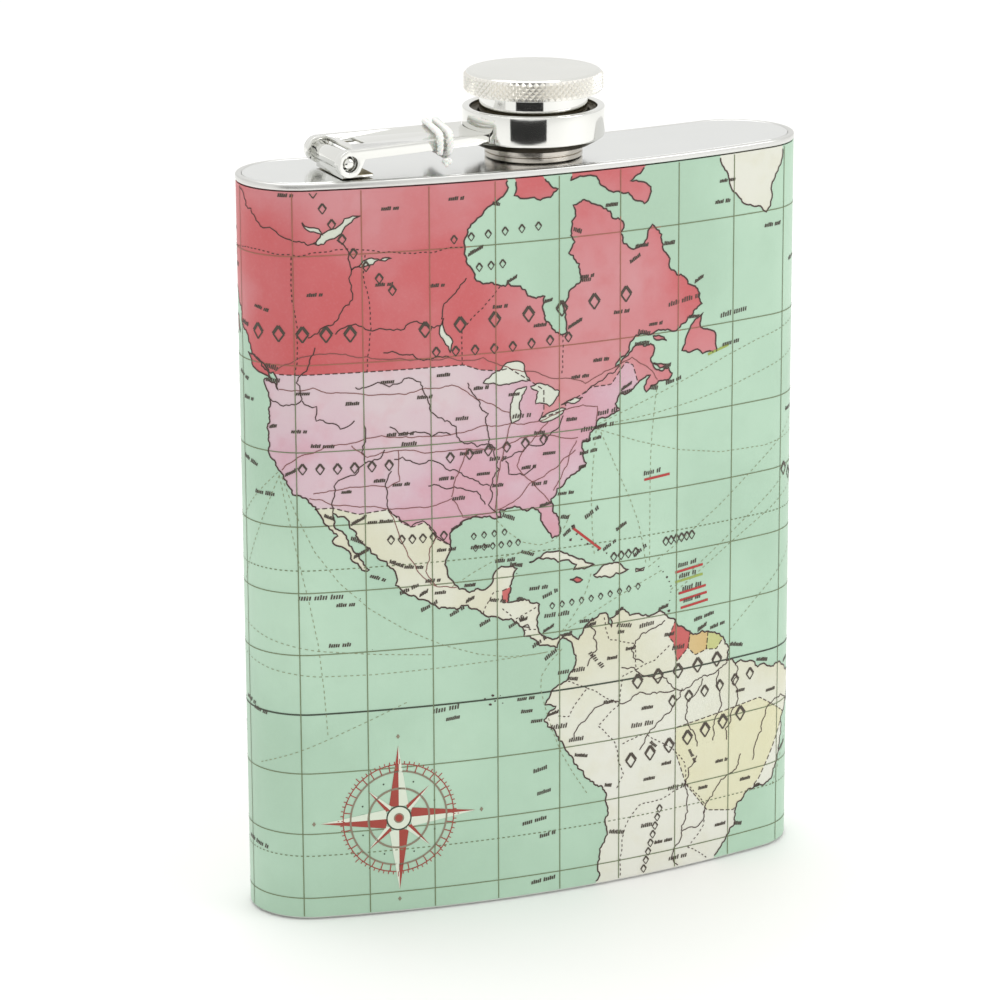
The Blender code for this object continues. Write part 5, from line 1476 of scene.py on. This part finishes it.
# --- The paper ------------------------------------------------------------------
PAPER = {
    "ocean": printed("ocean_wash", (0.43, 0.625, 0.475), (0.50, 0.70, 0.54), (0.40, 0.575, 0.43)),
    "canada": printed("red_wash", (0.60, 0.14, 0.15), (0.64, 0.28, 0.30), (0.57, 0.085, 0.09), 34.0),
    "lilac": printed(
        "lilac_wash", (0.65, 0.43, 0.51), (0.68, 0.55, 0.58), (0.64, 0.28, 0.33), 42.0,
        lean=(2.2, 6.5, -0.008, 0.080),
    ),
    "cream": printed("cream_wash", (0.72, 0.73, 0.60), (0.78, 0.78, 0.70), (0.66, 0.63, 0.43), 34.0),
    "yellow": printed("yellow_wash", (0.72, 0.70, 0.45), (0.76, 0.75, 0.58), (0.68, 0.62, 0.36)),
    "red": printed("scarlet_wash", (0.60, 0.14, 0.13), (0.63, 0.24, 0.22), (0.52, 0.07, 0.07)),
    "orange": printed("orange_wash", (0.62, 0.42, 0.14), (0.68, 0.52, 0.26), (0.55, 0.36, 0.12)),
    "green": printed("green_wash", (0.52, 0.54, 0.17), (0.58, 0.60, 0.28), (0.44, 0.47, 0.14)),
    "lake": printed("lake_wash", (0.70, 0.72, 0.62), (0.76, 0.78, 0.70), (0.60, 0.66, 0.55)),
}
INK = {
    "ink_coast": ink("ink_coast", (0.055, 0.027, 0.022)),
    "ink_text": ink("ink_text", (0.06, 0.045, 0.032)),
    "ink_grid": ink("ink_grid", (0.16, 0.2, 0.105)),
    "ink_grid_land": ink("ink_grid_land", (0.32, 0.12, 0.075)),
    "ink_equator": ink("ink_equator", (0.035, 0.05, 0.03)),
    "ink_rail": ink("ink_rail", (0.2, 0.07, 0.06)),
    "ink_route": ink("ink_route", (0.25, 0.28, 0.16)),
    "ink_red": ink("ink_red", (0.42, 0.035, 0.03)),
    "ink_green": ink("ink_green", (0.3, 0.38, 0.08)),
    "ink_rust": ink("ink_rust", (0.33, 0.045, 0.03)),
    "ink_taupe": ink("ink_taupe", (0.24, 0.2, 0.14)),
    "ink_cream": ink("ink_cream", (0.66, 0.72, 0.6)),
}
PAPER_NAMES = list(PAPER)
INK_NAMES = list(INK)

LAND = [
    ("cream", ragged(AMERICAS, seed=3, least=0.6, amount=0.21)),
    ("cream", ragged(AFRICA, seed=5)),
    ("cream", ragged(EURASIA, seed=7)),
]
LAND += [(colour, ragged(places, seed=11 + i)) for i, (colour, places) in enumerate(ISLANDS)]
LAKES = [ragged(places, seed=41 + i) for i, places in enumerate(WATERS)]
SHARES = [(colour, route(places)) for colour, places in COUNTRIES]


def holds(outline, points):
    """Which points an outline holds, by counting the edges to the right of each."""
    x, y = points[:, 0], points[:, 1]
    inside = np.zeros(len(points), bool)
    for first, last in zip(outline, outline[1:] + outline[:1]):
        if first.y == last.y:
            continue
        crossing = first.x + (last.x - first.x) * (y - first.y) / (last.y - first.y)
        inside ^= ((first.y > y) != (last.y > y)) & (x < crossing)
    return inside


def colour_areas(points):
    """The index of the paper's colour at each flat point."""
    chosen = np.full(len(points), PAPER_NAMES.index("ocean"))
    mainland = np.zeros(len(points), bool)
    for i, (colour, outline) in enumerate(LAND):
        inside = holds(outline, points)
        chosen[inside] = PAPER_NAMES.index(colour)
        if i < 3:
            mainland |= inside
    for colour, outline in SHARES:
        chosen[mainland & holds(outline, points)] = PAPER_NAMES.index(colour)
    for outline in LAKES:
        chosen[holds(outline, points)] = PAPER_NAMES.index("lake")
    return chosen


def build_sheet():
    """The paper: one surface cut along every coast, wrapped and given thickness."""
    verts = []
    edges = []

    def draw(points, closed):
        start = len(verts)
        verts.extend(Vector(p) for p in points)
        count = len(points)
        for i in range(count if closed else count - 1):
            edges.append((start + i, start + (i + 1) % count))

    end = SEAM + STRIP
    draw([(SEAM, LOW), (end, LOW), (end, TOP), (SEAM, TOP)], True)
    for _, outline in LAND:
        draw(outline, True)
    for _, outline in SHARES:
        draw(outline, True)
    for outline in LAKES:
        draw(outline, True)
    for along in section.stations(4.0 * MM, 1.2 * MM)[1:]:
        if along / MM < end - 0.3:
            draw([(along / MM, LOW), (along / MM, TOP)], False)
    made = geometry.delaunay_2d_cdt(verts, edges, [], 0, 1e-4, False)
    spots, triangles = made[0], made[2]
    middles = np.array([sum((spots[i] for i in t), Vector((0, 0))) / 3.0 for t in triangles])
    keep = (middles[:, 0] > SEAM) & (middles[:, 0] < end)
    keep &= (middles[:, 1] > LOW) & (middles[:, 1] < TOP)
    colours = colour_areas(middles)

    bm = bmesh.new()
    wrapped = {}
    for triangle, colour, kept in zip(triangles, colours, keep):
        if not kept:
            continue
        for i in triangle:
            if i not in wrapped:
                wrapped[i] = bm.verts.new(on_sheet(spots[i], PAPER_INSET))
        face = bm.faces.new([wrapped[i] for i in triangle])
        face.material_index = int(colour)
    bmesh.ops.recalc_face_normals(bm, faces=bm.faces)
    for face in bm.faces:
        x, y, _ = face.calc_center_median()
        if face.normal.dot(section.normal(x, y)) < 0.0:
            face.normal_flip()
    moved = bmesh.ops.extrude_face_region(bm, geom=bm.faces[:], use_keep_orig=True)["geom"]
    for item in moved:
        if isinstance(item, bmesh.types.BMVert):
            item.co -= section.normal(item.co.x, item.co.y) * (WRAP - PAPER_INSET - 0.02 * MM)
    bmesh.ops.recalc_face_normals(bm, faces=bm.faces)
    mesh = to_mesh(bm, "map_sheet", list(PAPER.values()), sharp=None)
    give_smooth_normals(mesh)
    piece("map_sheet", mesh, "flask", "printed_paper", "map_wrap")


def give_smooth_normals(mesh):
    """Light the wrapped faces as the true curve and the cut edges as flat."""
    normals = [Vector((0.0, 0.0, 1.0))] * len(mesh.loops)
    for polygon in mesh.polygons:
        for index in polygon.loop_indices:
            corner = mesh.vertices[mesh.loops[index].vertex_index].co
            curve = section.normal(corner.x, corner.y)
            facing = polygon.normal.dot(curve)
            normals[index] = curve * math.copysign(1.0, facing) if abs(facing) > 0.6 else polygon.normal
    mesh.normals_split_custom_set(normals)


# --- The ink --------------------------------------------------------------------
# Widths of line, in millimetres.
COAST = 0.26
LAKE_EDGE = 0.2
RIVER = 0.18
RAIL = 0.14
FRONTIER = 0.16
FRONTIER_BOLD = 0.17
GRID = 0.17
EQUATOR_BOLD = 0.27
STEAMER = 0.12
BAR = 0.42
PAPER_EDGE = 0.13  # the grid stops this short of the sheet's edge


def on_paper(point, margin=0.12):
    return SEAM + margin < point.x < SEAM + STRIP - margin and LOW + margin < point.y < TOP - margin


def stroke(bm, points, width, name, closed=False):
    """A line of ink along flat points, left out where it would leave the sheet."""
    if closed:
        points = points + points[:2]
    before_pair = None
    for i, point in enumerate(points):
        if not on_paper(point):
            before_pair = None
            continue
        ahead = points[min(i + 1, len(points) - 1)]
        behind = points[max(i - 1, 0)]
        along = ahead - behind
        if along.length < 1e-6:
            continue
        along.normalize()
        across = Vector((-along.y, along.x)) * width / 2.0
        pair = [bm.verts.new(on_sheet(point + across * side, INK_INSET)) for side in (1, -1)]
        if before_pair:
            face = bm.faces.new((before_pair[1], pair[1], pair[0], before_pair[0]))
            face.material_index = INK_NAMES.index(name)
        before_pair = pair


def patch(bm, points, name):
    """A small filled shape of ink."""
    if all(on_paper(p, 0.02) for p in points):
        face = bm.faces.new([bm.verts.new(on_sheet(p, INK_INSET)) for p in points])
        face.material_index = INK_NAMES.index(name)


def ray(bm, root, flank, tip, name):
    """A long triangle of ink in slices, so that it follows the curve."""
    slices = 10
    if (flank - root).cross(tip - root) < 0.0:
        root, flank = flank, root
    for k in range(slices):
        near, far = k / slices, (k + 1) / slices
        shape = [root.lerp(tip, near), flank.lerp(tip, near), flank.lerp(tip, far)]
        if k < slices - 1:
            shape.append(root.lerp(tip, far))
        patch(bm, shape, name)


def to_the_end(points, step):
    """Points at an even step along a flat route, with its last point."""
    path = spaced(points, step)
    if (path[-1] - points[-1]).length > 0.02:
        path.append(points[-1].copy())
    return path


def dashes(bm, points, width, name, on=2, off=1, step=0.45):
    path = spaced(points, step)
    for i in range(0, len(path) - on, on + off):
        stroke(bm, path[i : i + on + 1], width, name)


def draw_grid(bm):
    """Meridians and parallels every ten degrees, redder where they cross land."""
    red = PAPER_NAMES.index("canada")
    left, right = SEAM + PAPER_EDGE, SEAM + STRIP - PAPER_EDGE
    low, high = LOW + PAPER_EDGE, TOP - PAPER_EDGE

    def parallel(lat):
        height = at(0, lat).y
        return to_the_end([Vector((left, height)), Vector((right, height))], 1.0)

    paths = []
    for lon in range(-130, 70, 10):
        place = at(lon, 0).x
        paths.append(to_the_end([Vector((place, low)), Vector((place, high))], 1.0))
    for lat in list(range(-30, 0, 10)) + list(range(10, 70, 10)):
        paths.append(parallel(lat))
    for path in paths:
        under = colour_areas(np.array(path)) == red
        start = 0
        for i in range(1, len(path) + 1):
            if i == len(path) or under[i] != under[start]:
                name = "ink_grid_land" if under[start] else "ink_grid"
                stroke(bm, path[start : i + 1], GRID, name)
                start = i
    stroke(bm, parallel(0), EQUATOR_BOLD, "ink_equator")
    for lat in (-23.5, 23.5):
        dashes(bm, parallel(lat), GRID, "ink_grid", on=1, off=1)


def draw_coasts(bm):
    for _, outline in LAND:
        stroke(bm, outline, COAST, "ink_coast", closed=True)
    for outline in LAKES:
        stroke(bm, outline, LAKE_EDGE, "ink_coast", closed=True)
    for _, outline in SHARES[1:]:
        path = spaced([*outline, outline[0]], 0.4)
        land = np.zeros(len(path), bool)
        for _, mainland in LAND[:3]:
            land |= holds(mainland, np.array(path))
        for i in range(0, len(path) - 1, 3):
            if land[i] and land[i + 1]:
                stroke(bm, path[i : i + 3], FRONTIER_BOLD, "ink_coast")
    for lon, lat, size in SPECKS:
        centre = at(lon, lat)
        dice = random.Random(int(100 * (lon + lat)))
        ring = []
        for k in range(7):
            angle = math.tau * k / 7
            reach = size * dice.uniform(0.35, 0.62)
            ring.append(centre + reach * Vector((math.cos(angle), 0.8 * math.sin(angle))))
        patch(bm, ring, "ink_coast")


def draw_lines(bm):
    for i, places in enumerate(RIVERS):
        stroke(bm, ragged(places, closed=False, seed=71 + i, amount=0.2), RIVER, "ink_coast")
    for i, places in enumerate(RAILWAYS):
        stroke(bm, ragged(places, closed=False, seed=131 + i, amount=0.08), RAIL, "ink_rail")
    for i, places in enumerate(BORDERS):
        path = ragged(places, closed=False, seed=171 + i, amount=0.06)
        dashes(bm, path, FRONTIER, "ink_coast", on=1, off=1, step=0.42)
    for places in ROUTES:
        points = route(places)
        soft = []
        for first, second in zip(points, points[1:]):
            soft += [first, (first + second) / 2.0]
        soft.append(points[-1])
        eased = [(a + 2.0 * b + c) / 4.0 for a, b, c in zip(soft, soft[1:], soft[2:])]
        dashes(bm, [soft[0], *eased, soft[-1]], STEAMER, "ink_route", on=1, off=1, step=0.5)


def draw_names(bm):
    """Rows of slanted ticks and of beads, where a map has its lettering."""
    dice = random.Random(17)
    for lon, lat, count, tall, slope in NAMES:
        turn = Matrix.Rotation(math.radians(slope), 2)
        start = at(lon, lat)
        for i in range(count):
            if i % 6 == 5 and count - i > 2:
                continue
            height = tall * dice.choice((0.66, 0.7, 0.84))
            foot = Vector((0.36 * tall * i / 0.8, 0.0))
            lean = Vector((0.22 * height, height))
            half = Vector((0.13, 0.0))
            corners = [foot - half, foot + half, foot + half + lean, foot - half + lean]
            patch(bm, [start + turn @ c for c in corners], "ink_text")
    shore = LAND[0][1][40::23] + LAND[1][1][::17] + LAND[2][1][::19]
    for foot in shore:
        slope = math.radians(dice.choice((-24, -12, 0, 12, 26)))
        tall = dice.uniform(0.6, 0.8)
        for k in range(dice.randint(5, 9)):
            start = foot + Vector((0.4 + 0.42 * tall * k, 0.2)) @ Matrix.Rotation(-slope, 2)
            lean = Vector((0.2, dice.uniform(0.7, 1.0))) * tall
            half = Vector((0.12, 0.0))
            corners = (-half, half, half + lean, lean - half)
            patch(bm, [start + corner for corner in corners], "ink_text")
    for places, count, tall in TITLES:
        points = route(places)
        length = sum((b - a).length for a, b in zip(points, points[1:]))
        path = spaced(points, length / (40.0 * count))
        tall *= 1.25
        for i in range(count):
            centre = path[min(len(path) - 1, round((i + 0.5) * (len(path) - 1) / count))]
            bead(bm, centre, tall)


def bead(bm, centre, tall):
    """A hollow lozenge, heavier on its right."""
    ring = [centre + 0.5 * tall * Vector(tip) for tip in DIAMOND]
    for first, last in zip(ring, ring[1:] + ring[:1]):
        thick = 0.2 if first.x > last.x else 0.11
        stroke(bm, [first, (first + last) / 2.0, last], thick * tall, "ink_text")


def draw_bars(bm):
    for lon, lat, length, slope, name in BARS:
        start = at(lon, lat)
        angle = math.radians(slope)
        along = Vector((math.cos(angle), math.sin(angle)))
        path = spaced([start, start + along * length], 0.6)
        stroke(bm, path, BAR, name)


def draw_compass(bm):
    """A compass rose: two rings, thirty-two spokes, four long rays and four short."""
    hub = Vector((at(-105.5, 0).x, 16.3))

    def spot(radius, degrees):
        angle = math.radians(degrees)
        return hub + radius * Vector((math.sin(angle), math.cos(angle)))

    def ring(radius, width, name):
        stroke(bm, [spot(radius, 5.0 * k) for k in range(72)], width, name, closed=True)

    ring(5.0, 0.34, "ink_taupe")
    ring(7.9, 0.3, "ink_taupe")
    ring(9.1, 0.16, "ink_rust")
    for k in range(36):
        stroke(bm, [spot(7.9, 10.0 * k), spot(9.1, 10.0 * k)], 0.16, "ink_rust")
    for k in range(72):
        reach = 10.0 if k % 9 == 0 else 9.6  # every ninth mark is longer
        stroke(bm, [spot(9.1, 5.0 * k + 1.2), spot(reach, 5.0 * k + 1.2)], 0.14, "ink_rust")
    for k in range(8):
        middle = spot(6.4, 45.0 * k + 22.5)
        dot = [middle + 0.17 * Vector((math.cos(t), math.sin(t))) for t in (0.3, 1.9, 3.4, 5.0)]
        patch(bm, dot, "ink_equator")
    for k in range(4):
        aim = 90.0 * k + 45.0
        for side, name in ((1.0, "ink_cream"), (-1.0, "ink_rust")):
            ray(bm, spot(2.0, aim), spot(2.4, aim + side * 14.0), spot(7.2, aim), name)
    for k in range(4):
        aim = 90.0 * k
        tip = spot(12.3 if k % 2 == 0 else 12.8, aim)
        for side, name in ((1.0, "ink_cream"), (-1.0, "ink_rust")):
            ray(bm, spot(1.8, aim), spot(2.7, aim + side * 36.0), tip, name)
        pip = spot(13.8, aim)
        patch(bm, [pip + 0.42 * Vector(tip) for tip in DIAMOND], "ink_taupe")
    return hub


def build_compass_hub(hub):
    """The rose's middle, in thin layers one over the other."""
    bm = bmesh.new()
    for radius, inset, name in (
        (2.1, -0.004, "ink_equator"),
        (1.85, -0.008, "ink_cream"),
        (0.85, -0.012, "ink_taupe"),
        (0.62, -0.016, "ink_rust"),
    ):
        ring = []
        for k in range(40):
            angle = math.tau * k / 40
            flat = hub + radius * Vector((math.cos(angle), math.sin(angle)))
            ring.append(bm.verts.new(on_sheet(flat, inset * MM)))
        face = bm.faces.new(ring)
        face.material_index = INK_NAMES.index(name)
    mesh = to_mesh(bm, "rose_hub", list(INK.values()), sharp=None)
    piece("rose_hub", mesh, "flask", "printed_paper")


def build_ink():
    bm = bmesh.new()
    draw_grid(bm)
    draw_lines(bm)
    draw_coasts(bm)
    draw_names(bm)
    draw_bars(bm)
    hub = draw_compass(bm)
    mesh = to_mesh(bm, "map_ink", list(INK.values()), sharp=None)
    piece("map_ink", mesh, "flask", "printed_paper")
    build_compass_hub(hub)


# =============================================================================
# Studio
# =============================================================================
def build_studio():
    world = bpy.data.worlds.new("studio")
    bpy.context.scene.world = world
    world.use_nodes = True
    background = world.node_tree.nodes["Background"]
    background.inputs["Color"].default_value = (1.0, 1.0, 0.985, 1.0)
    background.inputs["Strength"].default_value = 0.9

    floor = Finish("pale_floor", (0.93, 0.93, 0.92), 0.55)
    cloud = floor.noise(6.0, 2.0)
    floor.set("Roughness", 0.5 + 0.1 * cloud)
    bm = bmesh.new()
    bmesh.ops.create_grid(bm, x_segments=2, y_segments=2, size=3.0)
    stage_piece("floor", bm, floor.material)

    card = Finish("dark_card", (0.01, 0.01, 0.01), 0.9)
    bm = bmesh.new()
    bmesh.ops.create_grid(bm, x_segments=1, y_segments=1, size=1.0)
    place = Matrix.Translation((-0.212, -0.339, 0.052))
    turn = Matrix.Rotation(math.radians(-32.0), 4, "Z") @ Matrix.Rotation(math.pi / 2.0, 4, "X")
    bm.transform(place @ turn @ Matrix.Diagonal((0.222, 0.052, 1.0, 1.0)))
    shade = stage_piece("card", bm, card.material)
    shade.visible_camera = False
    shade.visible_diffuse = False
    shade.visible_shadow = False

    lamp("key", (0.95, -0.9, 0.9), 0.9, 4.6)
    lamp("fill", (-1.2, -0.7, 0.7), 0.9, 0.4)
    lamp("top", (0.0, 0.3, 1.4), 1.1, 7.0)


def stage_piece(name, bm, material):
    mesh = bpy.data.meshes.new(name)
    bm.to_mesh(mesh)
    bm.free()
    mesh.materials.append(material)
    obj = bpy.data.objects.new(name, mesh)
    bpy.context.scene.collection.objects.link(obj)
    return obj


def lamp(name, place, size, power):
    """A square soft box that faces the flask."""
    light = bpy.data.lights.new(name, "AREA")
    light.size = size
    light.energy = power
    obj = bpy.data.objects.new(name, light)
    obj.location = place
    aim = Vector((0.0, 0.0, 0.06)) - Vector(place)
    obj.rotation_euler = aim.to_track_quat("-Z", "Y").to_euler()
    bpy.context.scene.collection.objects.link(obj)


def build_camera():
    """A long lens, a little left of the front and above it."""
    azimuth = math.radians(-23.63)
    height = math.radians(16.12)
    roll = math.radians(-0.266)
    target = Vector((-4.46, 1.95, 63.78)) * MM
    back = Vector(
        (
            math.sin(azimuth) * math.cos(height),
            -math.cos(azimuth) * math.cos(height),
            math.sin(height),
        )
    )
    side = Vector((math.cos(azimuth), math.sin(azimuth), 0.0))
    up = back.cross(side)
    right = side * math.cos(roll) + up * math.sin(roll)
    above = up * math.cos(roll) - side * math.sin(roll)
    data = bpy.data.cameras.new("camera")
    data.lens = 159.0
    data.sensor_width = 36.0
    data.clip_start = 0.01
    obj = bpy.data.objects.new("camera", data)
    turn = Matrix((right, above, back)).transposed().to_4x4()
    obj.matrix_world = Matrix.Translation(target + back * 0.7126) @ turn
    bpy.context.scene.collection.objects.link(obj)
    bpy.context.scene.camera = obj


def main():
    yarn = cotton()
    build_shell()
    build_plates()
    build_sheet()
    build_ink()
    build_neck()
    build_bracket()
    build_pin()
    build_arm()
    build_collar()
    build_knob()
    finish_inner_parts()
    build_string(yarn)
    build_knot(yarn)
    build_studio()
    build_camera()
    bpy.context.scene.view_settings.view_transform = "Standard"


main()
